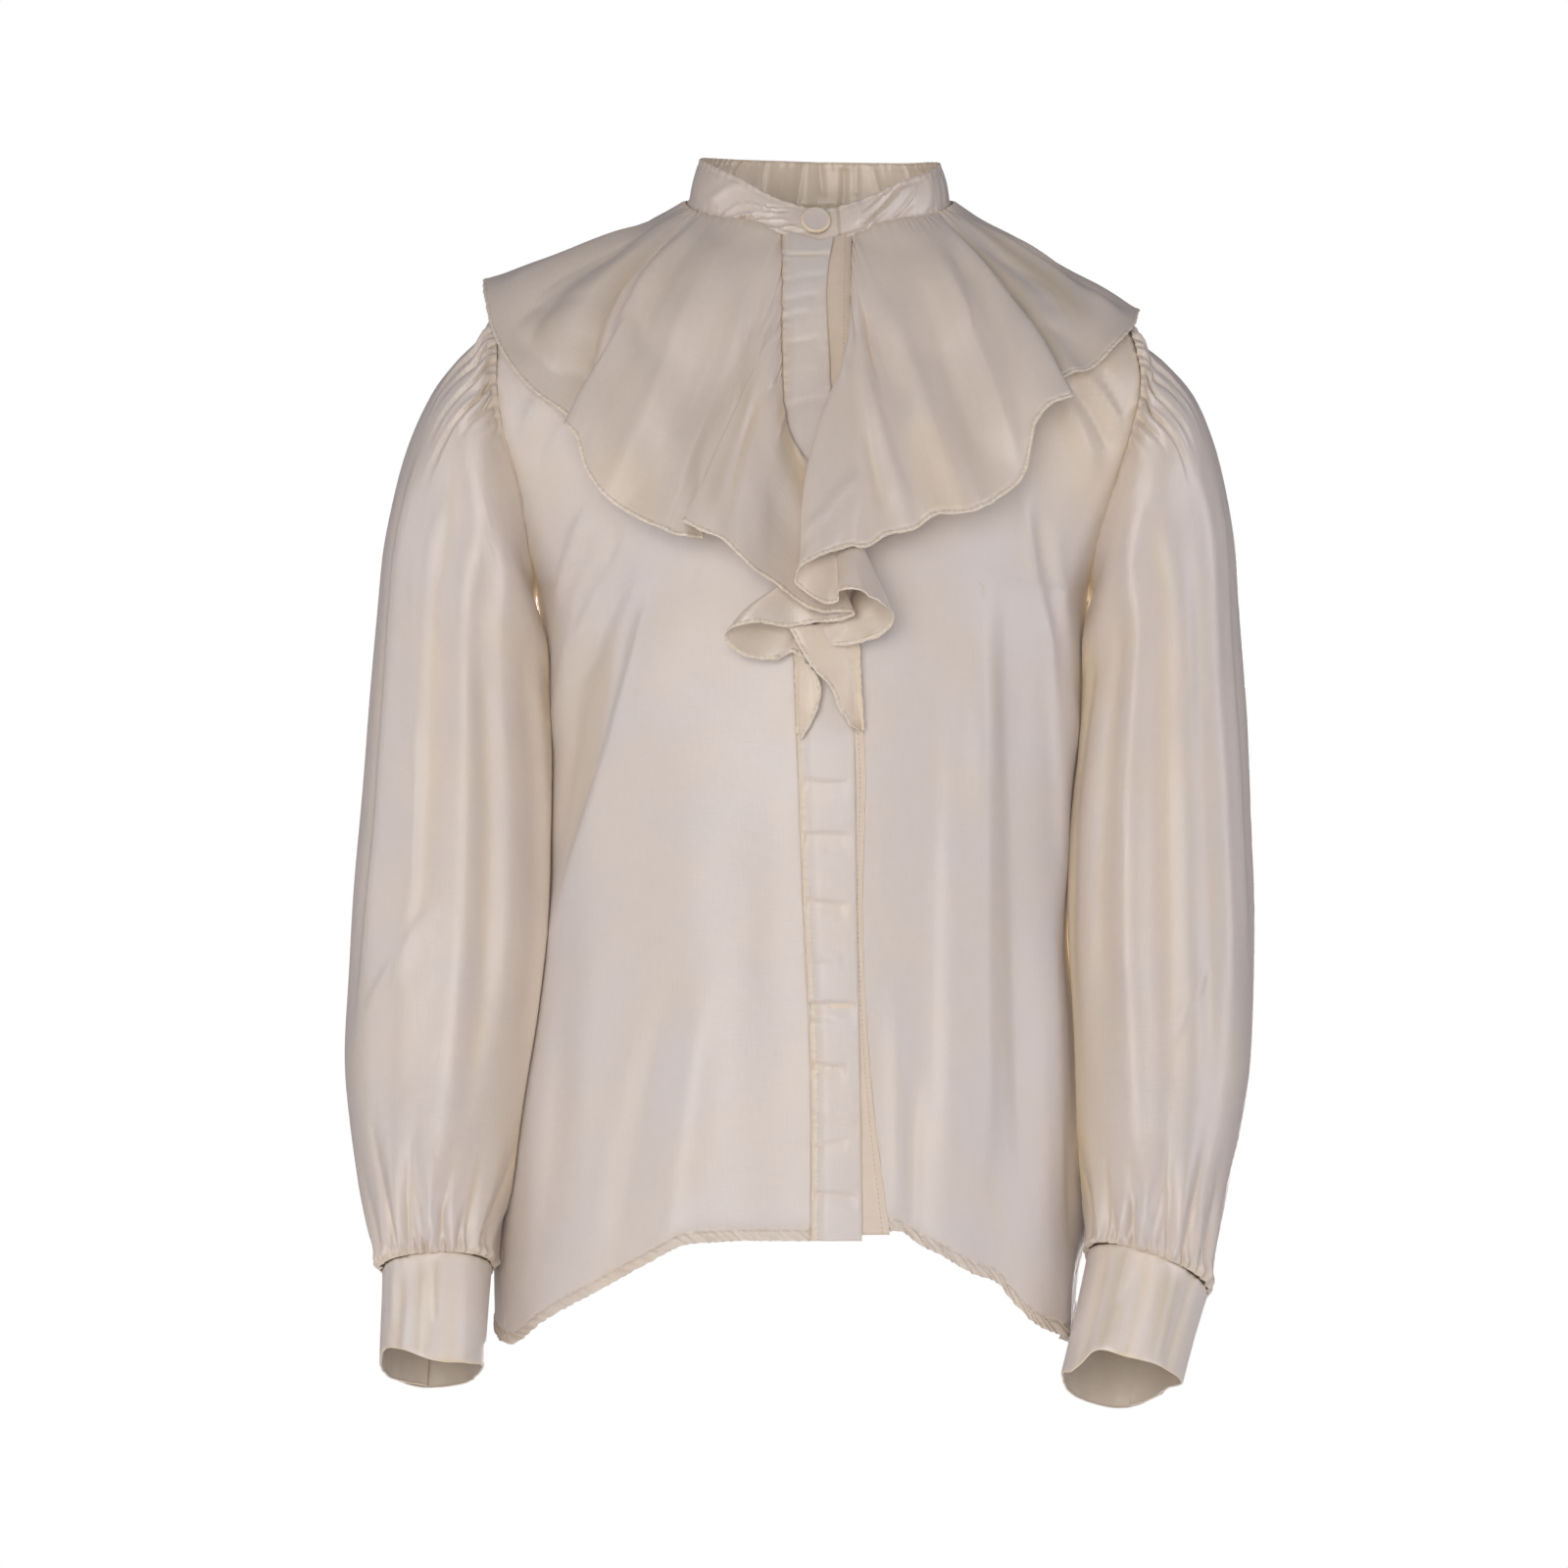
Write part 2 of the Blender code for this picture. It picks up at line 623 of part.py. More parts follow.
def ruffle_points(table, side):
    """A ruffle as ribs from seam to hem. Each rib bows away from the body by its lift."""
    rows = np.asarray(table, float)
    seam = ruffle_seam(rows[:, 0], side)
    hem = rows[:, 1:4]
    middle = (seam + hem) / 2
    round_neck = rows[:, 0] < 1
    aside = middle[:, 0] / BOW_HALF_WIDTH * round_neck
    away = np.stack([aside, middle[:, 1] / BOW_DEPTH, BOW_UP * round_neck], -1)
    away /= np.linalg.norm(away, axis=-1, keepdims=True)
    down = np.linspace(0, 1, RUFFLE_ROWS + 1)[:, None, None]
    points = seam + (hem - seam) * down
    edges = curve(FRONT_EDGES, points[..., 2])
    past_seam = (points[..., 0] - edges[..., 0]) / PLACKET_RAMP
    before_end = (edges[..., 2] + PLACKET_RAMP - points[..., 0]) / PLACKET_RAMP
    front = (points[..., 1] < 0) & (points[..., 2] < BAND_TOP)
    over = smooth_step(past_seam) * smooth_step(before_end) * front
    clearance = RUFFLE_OFF_PANEL + (RUFFLE_OFF_PLACKET - RUFFLE_OFF_PANEL) * over
    bow = rows[:, 4, None] * np.sin(math.pi * down**BOW_CREST)
    return outside_body(points, clearance) + away * bow


def covered_button(name, place, facing, width, collection, colour):
    """A flat disc covered in silk, with a rounded rim. The place is the middle of its back."""
    work = bmesh.new()
    bmesh.ops.create_cone(
        work,
        cap_ends=True,
        segments=BUTTON_ROUND,
        radius1=width / 2 * MM,
        radius2=width / 2 * MM,
        depth=BUTTON_DEPTH * MM,
    )
    caps = [face for face in work.faces if len(face.verts) == BUTTON_ROUND]
    rim = [edge for edge in work.edges if any(face in caps for face in edge.link_faces)]
    bmesh.ops.bevel(
        work,
        geom=rim,
        offset=BUTTON_BEVEL * MM,
        affect="EDGES",
        segments=2,
        profile=BUTTON_RIM_ROUND,
        material=-1,
    )
    axis = np.asarray(facing, float) / np.linalg.norm(facing)
    across = np.cross((0, 0, 1), axis)
    across /= np.linalg.norm(across)
    up = np.cross(axis, across)
    for vertex in work.verts:
        x, y, z = vertex.co
        vertex.co = np.asarray(place) * MM + across * x + up * y + axis * (z + BUTTON_DEPTH / 2 * MM)
    return add_object(name, work, collection, colour)


def button_seat(points, row, column, side, wall):
    """The place just off a band's outer face at a grid position, and the way the face looks there."""
    low, left = int(row), int(column)
    up, across = row - low, column - left
    foot, top = points[low, left : left + 2], points[low + 1, left : left + 2]
    edge = foot + (top - foot) * up
    along = edge[1] - edge[0]
    rise = (top - foot)[0] * (1 - across) + (top - foot)[1] * across
    facing = side * np.cross(along, rise)
    facing /= np.linalg.norm(facing)
    return edge[0] + along * across + facing * (wall + BUTTON_LIFT), facing


def add_buttons(collection, colour):
    """The collar button at the front lap, and one button on the lap of each cuff."""
    seats = (
        ("collar_button", collar_points(), COLLAR_BUTTON_SEAT, 1, COLLAR_BUTTON_WIDTH),
        ("cuff_button_right", cuff_points(RIGHT_CUFF), CUFF_BUTTON_SEAT, -1, CUFF_BUTTON_WIDTH),
        ("cuff_button_left", cuff_points(LEFT_CUFF), CUFF_BUTTON_SEAT, 1, CUFF_BUTTON_WIDTH),
    )
    for name, points, seat, side, width in seats:
        place, facing = button_seat(points, *seat, side, BAND_CLOTH)
        covered_button(name, place, facing, width, collection, colour)


def main():
    for item in list(bpy.data.objects):
        bpy.data.objects.remove(item, do_unlink=True)
    blouse = bpy.data.collections.new("silk_blouse")
    bpy.context.scene.collection.children.link(blouse)
    ivory = (0.72, 0.66, 0.57)
    warm = (0.75, 0.67, 0.55)
    grey = (0.64, 0.58, 0.51)

    add_sheet("front_right", front_panel(-1, HEM_RIGHT, 0), blouse, ivory, CLOTH, 1, turned=True)
    add_sheet("front_left", front_panel(1, HEM_LEFT, 2), blouse, ivory, CLOTH, 1)
    add_sheet("back", back_panel(), blouse, ivory, CLOTH, 1, turned=True)
    add_sheet("placket", placket_points(), blouse, ivory, BAND_CLOTH, 1)
    add_sheet("button_band", button_band_points(), blouse, warm, CLOTH, 1)
    right_sleeve = sleeve_rings(RIGHT_SLEEVE, -1)
    left_sleeve = sleeve_rings(LEFT_SLEEVE, 1)
    add_sheet("sleeve_right", right_sleeve, blouse, warm, CLOTH, 1, closed=True, turned=True)
    add_sheet("sleeve_left", left_sleeve, blouse, warm, CLOTH, 1, closed=True)
    add_sheet("cuff_right", cuff_points(RIGHT_CUFF), blouse, warm, BAND_CLOTH, 1, turned=True)
    add_sheet("cuff_left", cuff_points(LEFT_CUFF), blouse, warm, BAND_CLOTH, 1)
    add_sheet("collar_band", collar_points(), blouse, grey, BAND_CLOTH, 1)
    add_sheet("ruffle_right", ruffle_points(RIGHT_RUFFLE, -1), blouse, grey, RUFFLE_CLOTH, 0)
    add_sheet("ruffle_left", ruffle_points(LEFT_RUFFLE, 1), blouse, grey, RUFFLE_CLOTH, 0)
    add_buttons(blouse, grey)


main()
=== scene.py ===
import math

import bmesh
import bpy
import numpy as np
from mathutils import Matrix, Vector


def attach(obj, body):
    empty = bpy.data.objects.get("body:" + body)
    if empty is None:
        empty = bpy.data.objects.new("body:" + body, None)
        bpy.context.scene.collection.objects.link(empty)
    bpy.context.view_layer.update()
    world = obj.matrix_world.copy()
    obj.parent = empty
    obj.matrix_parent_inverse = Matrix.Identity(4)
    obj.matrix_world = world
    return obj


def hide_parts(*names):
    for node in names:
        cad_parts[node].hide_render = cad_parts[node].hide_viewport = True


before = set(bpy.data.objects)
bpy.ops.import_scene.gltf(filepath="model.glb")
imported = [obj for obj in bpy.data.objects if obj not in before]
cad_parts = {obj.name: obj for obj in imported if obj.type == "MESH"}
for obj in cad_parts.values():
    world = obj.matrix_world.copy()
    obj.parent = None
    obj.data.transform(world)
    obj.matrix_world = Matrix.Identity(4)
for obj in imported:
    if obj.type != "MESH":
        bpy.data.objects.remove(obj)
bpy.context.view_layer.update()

# The fronts and the back: three wide panels of silk satin that keep the hollow form of a worn
# blouse. Plain seams join them at the shoulders and sides, and the hem is turned up 6.5 mm and sewn.
MM = 0.001
CLOTH = 0.5
PANEL_LIFT = 0.9
ARMHOLE_TOP = -60.0
ARMHOLE_FOOT = -215.0
ARMHOLE_HALF_DEPTH = 50.0
NECK_HALF_WIDTH = 74.0
NECK_FRONT = 58.0
NECK_BACK = 50.0
SEAM_GAP = 0.3

# height, right half width, left half width, front depth, back depth, side seam depth right, left
BODY = (
    (-640, 175, 150, 114, 112, -30, -12), (-580, 175, 150, 113, 110, -26, -12),
    (-505, 171, 148, 112, 106, -16, -10), (-450, 159, 143, 112, 101, -8, -6),
    (-400, 152, 138, 113, 97, -3, -3), (-345, 150, 139, 115, 95, 0, 0), (-305, 149, 144, 117, 97, 0, 0),
    (-250, 152, 147, 118, 102, 0, 0), (-215, 156, 148, 117, 106, 0, 0),
    (-190, 160, 152, 115, 108, 0, 0), (-155, 165, 162, 109, 108, 0, 0),
    (-133, 172, 169, 104, 106, 0, 0), (-90, 177, 175, 89, 98, 0, 0), (-60, 172, 162, 77, 88, 0, 0),
    (-28, 119, 107, 59, 72, 0, 0), (-12, 93, 86, 46, 60, 0, 0), (0, 74, 74, 41, 51, 0, 0),
    (8, 70, 70, 38, 48, 0, 0),
)
# How far the side is pressed in by the arm beside it: height, right, left.
SIDE_DENTS = ((-640, 4, 18), (-600, 2, 11), (-560, 0, 0), (-500, 0, 0))
DENT_START = 0.68
# Where a row of the weave that meets the side at one height meets the centre.
SIDE_TO_CENTRE = ((-629, -629), (-215, -215), (-137, -152), (-60, -88), (0, -27.5))
ROW_BEND = 1.5
# Edges of a panel from the centre (share 0) to the side (share 1): share, height.
HEM_RIGHT = (
    (0, -566), (0.22, -567.4), (0.31, -569.6), (0.38, -577.7), (0.52, -593.4), (0.62, -603),
    (0.75, -615), (0.86, -625), (0.93, -629), (1, -629),
)
HEM_LEFT = (
    (0, -561), (0.05, -562), (0.09, -568), (0.15, -573), (0.27, -585), (0.37, -592), (0.42, -601),
    (0.5, -612), (0.66, -622), (0.85, -628), (1, -629),
)
HEM_BACK = ((0, -575), (0.35, -582), (0.6, -600), (0.85, -623), (0.95, -629), (1, -629))
NECKLINE_FRONT = ((0, -27.5), (0.145, -20), (0.275, -14.7), (0.43, -11.5), (0.7, -6), (1, 0))
NECKLINE_BACK = ((0, 3), (0.5, 2), (1, 0))
# The front edges, by height: placket's seam, placket's free edge, button band's seam.
FRONT_EDGES = (
    (-566, -4, 22, 36), (-486, -4, 21, 26), (-390, -8, 19, 21), (-312, -11, 18, 22.5),
    (-267, -12.5, 17, 20), (-180, -17, 11, 17), (-95, -20, 5, 14.5), (-42, -20, 4.5, 15.5),
    (-25, -20, 7.5, 16),
)
# The deepest folds: x and height of the top, x and height of the foot, half width, rise.
DEEP_FRONT_FOLDS = (
    (74, -300, 72, -560, 17, 6), (92, -225, 110, -430, 13, 5), (112, -285, 139, -500, 13, 7),
    (-110, -235, -128, -310, 13, 4), (-64, -420, -84, -575, 17, 5), (-40, -330, -44, -560, 20, -4),
)
DEEP_BACK_FOLDS = (
    (-60, -190, -84, -575, 18, 6), (20, -230, 34, -580, 20, 5), (84, -200, 108, -560, 16, 6),
    (-14, -260, -30, -570, 18, -4),
)
# Finer folds: x and height at the top, the same at the foot, sideways bend, width to the left
# and to the right, rise. A trough has a rise below nothing.
FRONT_FOLDS = (
    (-88, -205, -150, -420, 5, 4.5, 26, 7), (-97, -196, -134, -280, -4, 7, 7, -3.2),
    (-124, -190, -149, -310, 0, 5, 8, 2.6), (-115, -180, -133, -262, 0, 4, 5, 1.8),
    (-128, -260, -150, -400, 0, 4, 4, -1.8), (-70, -400, -110, -590, -4, 12, 22, -3.6),
    (-98, -430, -124, -600, 0, 14, 12, 1.4), (-56, -430, -76, -578, 4, 13, 16, -1.9),
    (-40, -410, -50, -575, 2, 10, 12, 0.4), (-140, -420, -158, -620, 3, 6, 8, -1.4),
    (-103, -176, -134, -242, -3, 5, 5, -3.2), (-122, -166, -144, -226, -2, 4, 5, 2.4),
    (-20, -300, -28, -470, 0, 12, 18, 1.4), (-72, -260, -76, -420, 0, 18, 22, 1.6),
    (99, -180, 110, -575, 2, 8, 14, -4.6), (84, -215, 87, -580, 2, 9, 8, 3.6),
    (62, -215, 58, -560, 0, 14, 8, -2.4), (119, -190, 134, -430, 3, 3, 6, 2.6),
    (116, -160, 139, -290, 0, 6, 5, -3.8), (108, -158, 127, -270, 0, 5, 5, 2.4),
    (125, -172, 143, -320, 0, 5, 4, 2.4), (131, -340, 138, -615, 2, 4, 8, -2.4),
    (120, -440, 123, -615, 0, 8, 6, 1.6), (50, -470, 48, -590, 0, 5, 6, -2.8),
    (40, -420, 43, -575, 0, 6, 5, 1.8), (130, -98, 160, -142, 3, 3, 4, -4.6),
    (136, -92, 165, -132, 3, 3, 3, 4.2), (146, -90, 168, -120, 2, 3, 3, -3.6),
    (120, -98, 150, -160, 4, 5, 6, 3.2), (-138, -96, -162, -132, -3, 4, 4, 2.6),
    (-128, -100, -158, -150, -3, 5, 5, -2.4),
)
BACK_FOLDS = (
    (-120, -180, -146, -330, 4, 8, 18, 3), (-96, -200, -118, -480, 2, 10, 12, -2.2),
    (-36, -180, -58, -560, -4, 12, 12, -2.4), (-4, -150, -8, -420, 3, 14, 16, 1.8),
    (50, -190, 62, -575, 3, 10, 14, -2.6), (66, -260, 76, -570, 0, 6, 8, 1.4),
    (112, -190, 140, -380, -3, 9, 12, -2.4), (124, -230, 146, -420, 0, 6, 8, 1.8),
    (-130, -380, -150, -600, 0, 9, 11, -1.8), (-104, -410, -110, -590, 3, 7, 9, 1.5),
    (4, -440, 12, -570, 0, 8, 9, -1.5), (136, -420, 150, -600, 0, 8, 8, -1.6),
    (92, -470, 96, -580, 2, 7, 7, 1.3),
)
# Faint grey marks on the silk: x, height, half width, half height, strength.
MARKS = ((87.4, -216.7, 1, 3.4, 0.3), (-156.5, -121.3, 1, 2.6, 0.35))
# Painted shade where less light comes in beside a fold: rows as for the folds, then the strength.
FRONT_SHADES = (
    (-107, -215, -144, -405, 3, 20, 3, 0.35), (92, -200, 109, -560, 2, 8, 12, 0.14),
    (-75, -400, -112, -590, -4, 12, 20, 0.15),
)
FADE = 0.3
FOLD_START = 0.33
FOLD_FADE_AT = 1.25
FOLD_FADE = 0.25
PANEL_WAVE = 0.5
PANEL_WAVE_SIZE = 95
PANEL_COLUMNS = 168
PANEL_ROWS = 128
BACK_HALF_COLUMNS = 56
BACK_ROWS = 150
BACK_HALF_GIRTH = 170
# Under the ruffle the folds lie flatter, up from here.
FLATTER_FROM = -150
FLATTER_SHARE = 0.75
HEM_STEPS = (0, 0.25, 0.8, 1.7, 2.7, 3.8, 4.8, 5.7, 6.3, 6.9, 7.7, 9)
TOP_STEPS = (3, 1.5, 0.6, 0)
EDGE_SHARES = (0.0012, 0.004, 0.009)
HEM_DEPTH = 6.5
HEM_ROPE = 0.75
HEM_STITCH_ROW = 7
STITCH_PITCH = 2.6
STITCH_LENGTH = 1.9
STITCH_WIDTH = 0.42
# A painted glow, for light that shines through the thin silk into the gap between the body and the arm.
GLOW = 0.42
GLOW_COLOUR = "#E0CFB6"
GLOW_WARMTH = 1.9
GLOW_WIDTH = 10.0
GLOW_TOP = -178.0
GLOW_TOP_FADE = 40
GLOW_FOOT = -570.0
GLOW_FOOT_FADE = 60
# How dark the painted shade gets, as a share of the colour, where warm is -1.
DARKEST_PAINTED_SHADE = 0.6
# Patterns in the silk, by how many of their marks there are in a metre.
CLOUDS = 16.0
THREADS = 800.0
SLUBS_ACROSS = 90.0
SLUBS_DOWN = 60.0
RIPPLES = 95.0
FIBRES = 1800.0


def curve(table, at):
    """The columns of a table at each key, on a smooth curve through its rows."""
    rows = np.asarray(table, float)
    keys = rows[:, 0]
    values = rows[:, 1:]
    slopes = np.gradient(values, keys, axis=0)
    at = np.clip(np.asarray(at, float), keys[0], keys[-1])
    low = np.clip(np.searchsorted(keys, at, side="right") - 1, 0, len(keys) - 2)
    span = keys[low + 1] - keys[low]
    t = ((at - keys[low]) / span)[..., None]
    span = span[..., None]
    first = (1 + 2 * t) * (1 - t) ** 2 * values[low] + t * (1 - t) ** 2 * span * slopes[low]
    second = t * t * (3 - 2 * t) * values[low + 1] + t * t * (t - 1) * span * slopes[low + 1]
    return first + second


def smooth_step(share):
    share = np.clip(share, 0, 1)
    return share * share * (3 - 2 * share)


def ridge(off):
    """The height of a soft round ridge, by how many half widths away from its crest."""
    return np.exp(-(off**2))


def folds(across, along, table, start=FADE, end=FADE):
    """Rise of the cloth over soft folds. Each runs between two places and fades at its ends."""
    rise = np.zeros(np.broadcast(across, along).shape)
    for across0, along0, across1, along1, bend, low, high, lift in table:
        t = (along - along0) / (along1 - along0)
        inside = np.clip(t, 0, 1)
        middle = across0 + (across1 - across0) * inside + bend * 4 * inside * (1 - inside)
        off = across - middle
        off = off / np.where(off < 0, low, high)
        rise += lift * smooth_step(t / start) * smooth_step((1 - t) / end) * ridge(off)
    return rise


def uneven(u, v, size, seed):
    """A slow wave with no pattern to it, from -1 to 1, over two directions of the cloth."""
    turns = 2 * math.pi / size
    return (
        np.sin(turns * (u + 0.31 * v) + seed)
        + np.sin(turns * (0.57 * v - 0.41 * u) * 1.37 + 2.3 * seed)
        + np.sin(turns * (0.83 * u - 0.72 * v) * 0.61 + 4.1 * seed)
    ) / 3


def rope(along, period, seed):
    """The uneven ripple of a sewn edge, from -1 to 1."""
    turn = 2 * math.pi * along / period
    return np.sin(turn + 1.6 * np.sin(turn / 5.3 + seed) + 1.1 * np.sin(turn / 2.3 + 2 * seed))


def deep_rise(x, height, table):
    """How far the deep folds lift the cloth at a place on the body."""
    rise = np.zeros(np.shape(x))
    for top_x, top, foot_x, foot, width, lift in table:
        along = np.clip((top - height) / (top - foot), 0, 1)
        across = (x - (top_x + (foot_x - top_x) * along)) / width
        grow = smooth_step(along / FOLD_START) * smooth_step((FOLD_FADE_AT - along) / FOLD_FADE)
        rise += lift * grow * ridge(across)
    return rise


def armhole_depth(height):
    middle = (ARMHOLE_TOP + ARMHOLE_FOOT) / 2
    half = (ARMHOLE_TOP - ARMHOLE_FOOT) / 2
    return ARMHOLE_HALF_DEPTH * np.sqrt(np.clip(1 - ((height - middle) / half) ** 2, 0, 1))


def section(height, side, face):
    """Half width and depth of the ring at a height, and the angle of its end at the side."""
    levels = curve(BODY, height)
    half = levels[..., 0 if side < 0 else 1]
    depth = levels[..., 2 if face < 0 else 3]
    edge = -face * levels[..., 4 if side < 0 else 5] - armhole_depth(height)
    end = np.arccos(np.clip(-edge / depth, -1, 1))
    return half / np.sin(end), depth, end


def panel_point(share, height, side, face, start):
    """A point of a body panel. The share runs from the centre edge at x = start to the side edge."""
    width, depth, end = section(height, side, face)
    first = np.arcsin(np.clip(start / width, -1, 1))
    angle = first + share * (end - first)
    x = width * np.sin(angle)
    lift = deep_rise(side * x, height, DEEP_FRONT_FOLDS if face < 0 else DEEP_BACK_FOLDS)
    dent = curve(SIDE_DENTS, height)[..., 0 if side < 0 else 1]
    x = x - dent * smooth_step((share - DENT_START) / (1 - DENT_START))
    return np.stack([side * x, face * (depth + lift) * np.cos(angle), height], -1)


def outside_neck(points):
    """Moves points of the neck edge that are inside the neck seam out to it."""
    depth = np.where(points[..., 1] < 0, NECK_FRONT, NECK_BACK)
    reach = np.hypot(points[..., 0] / NECK_HALF_WIDTH, points[..., 1] / depth)
    moved = points.copy()
    moved[..., :2] *= np.maximum(1 / np.maximum(reach, 0.05), 1)[..., None]
    return moved


def row_heights(share, hem, neckline, side):
    """Heights of a panel's rows, from its hem to its neck edge, at each share of its width."""
    centre = curve(SIDE_TO_CENTRE, side)[:, 0]
    side_share = (side - side[0]) / (side[-1] - side[0])
    centre_share = (centre - centre[0]) / (centre[-1] - centre[0])
    rows = centre_share[:, None] + (side_share - centre_share)[:, None] * share**ROW_BEND
    foot = curve(hem, share)[:, 0]
    return foot + (curve(neckline, share)[:, 0] - foot) * rows


def side_rows(count, hem, neck):
    """Heights along the side edge, closer together at the hem and the neck."""
    low = hem + np.array(HEM_STEPS)
    high = neck - np.array(TOP_STEPS)
    return np.concatenate([low, np.linspace(low[-1], high[0], count + 2)[1:-1], high])


def fine_shares(count):
    """Shares from edge to edge, closer together beside each edge."""
    near = np.array(EDGE_SHARES)
    return np.sort(np.concatenate([np.linspace(0, 1, count + 1), near, 1 - near]))


def unit(vectors):
    """The vectors, each made one unit long."""
    return vectors / np.maximum(np.linalg.norm(vectors, axis=-1, keepdims=True), 1e-9)


def normals(points, turned, closed):
    """The way that the cloth's outer face looks at each point."""
    facing = np.cross(np.gradient(points, axis=1), np.gradient(points, axis=0))
    if closed:
        facing[:, 0] = facing[:, -1] = facing[:, 0] + facing[:, -1]
    return -unit(facing) if turned else unit(facing)


def raised(points, height, turned=False, closed=False):
    return points + normals(points, turned, closed) * np.asarray(height)[..., None]


def edge_roll(distance, depth=0.8, width=1.3):
    """How far the cloth turns in where a seam takes its edge."""
    return -depth * (1 - smooth_step(distance / width))


def summed(steps):
    """The length so far, before the first step and after each one."""
    return np.concatenate([[0], np.cumsum(steps)])


def lengths_along(line, extra=0):
    """How far along a line each of its points is, with something extra for each step."""
    return summed(np.linalg.norm(np.diff(line, axis=0), axis=1) + extra)


def spaced(line, along, at):
    """The line's values at new lengths along it."""
    return np.stack([np.interp(at, along, line[:, i]) for i in range(3)], -1)


def lay(points):
    """Lengths across and up the cloth at each point, for its weave."""
    across = np.linalg.norm(np.diff(points, axis=1), axis=-1).mean(0)
    up = np.linalg.norm(np.diff(points, axis=0), axis=-1).mean(1)
    return np.stack(np.meshgrid(summed(across), summed(up)), -1)


def add_mesh(name, work, material):
    mesh = bpy.data.meshes.new(name)
    work.to_mesh(mesh)
    work.free()
    mesh.materials.append(material)
    made = bpy.data.objects.new(name, mesh)
    bpy.context.scene.collection.objects.link(made)
    return made


def cloth_sheet(
    name, points, material, wall=CLOTH, turned=False, closed=False, warm=0.0, within=None
):
    """A sheet of cloth through a grid of points on its outer face, with a wall inside them.

    The attribute warm is painted light: it paints warmer light where cloth lies over cloth or folds in.
    Past 1 it also paints a glow for light that shines through the thin silk into a narrow gap, and
    below 0 it is painted shade where little light comes. Within is its value on the inner wall.
    """
    rows, columns = points.shape[:2]
    weave = lay(points).reshape(-1, 2) * MM
    backs = raised(points, np.full((rows, columns), -wall), turned, closed).reshape(-1, 3) * MM
    warm = np.broadcast_to(np.clip(warm, -1, 2), (rows, columns)).ravel()
    work = bmesh.new()
    bmesh.ops.create_grid(work, x_segments=columns - 1, y_segments=rows - 1, size=1)
    warmth = work.verts.layers.float.new("warm")
    inner = work.verts.layers.float_vector.new("inner")
    for vertex, place, share, behind in zip(work.verts, points.reshape(-1, 3) * MM, warm, backs):
        vertex.co = place
        vertex[warmth] = share
        vertex[inner] = behind
    uv = work.loops.layers.uv.new("weave")
    for face in work.faces:
        for loop in face.loops:
            loop[uv].uv = weave[loop.vert.index]
    if closed:
        bmesh.ops.remove_doubles(work, verts=work.verts, dist=1e-6)
    if turned:
        bmesh.ops.reverse_faces(work, faces=work.faces)
    if wall:
        outer = len(work.verts)
        bmesh.ops.solidify(work, geom=work.faces[:], thickness=wall * MM)
        for vertex in list(work.verts)[outer:]:
            vertex.co = vertex[inner]
            if within is not None:
                vertex[warmth] = within
    work.verts.layers.float_vector.remove(inner)
    for face in work.faces:
        face.smooth = True
    for edge in work.edges:
        if len(edge.link_faces) == 2 and edge.calc_face_angle() > 1.1:
            edge.smooth = False
    return add_mesh(name, work, material)


def srgb(colour):
    """An sRGB hex colour as linear red, green, blue and alpha."""
    parts = [int(colour[i : i + 2], 16) / 255 for i in (1, 3, 5)]
    return (*[p / 12.92 if p <= 0.04045 else ((p + 0.055) / 1.055) ** 2.4 for p in parts], 1)


def feed(node, inputs):
    """Gives each of a node's inputs its value, or the output that feeds it."""
    for name, value in inputs.items():
        if isinstance(value, bpy.types.NodeSocket):
            node.id_data.links.new(value, node.inputs[name])
        else:
            node.inputs[name].default_value = value


def add_node(material, kind, inputs, output=0, **settings):
    """Adds a node with its inputs and settings, and returns one of its outputs."""
    made = material.node_tree.nodes.new("ShaderNode" + kind)
    for name, value in settings.items():
        setattr(made, name, value)
    feed(made, inputs)
    return made.outputs[output] if made.outputs else None


def new_material(name):
    material = bpy.data.materials.new(name)
    material.use_nodes = True
    return material, material.node_tree.nodes["Principled BSDF"]


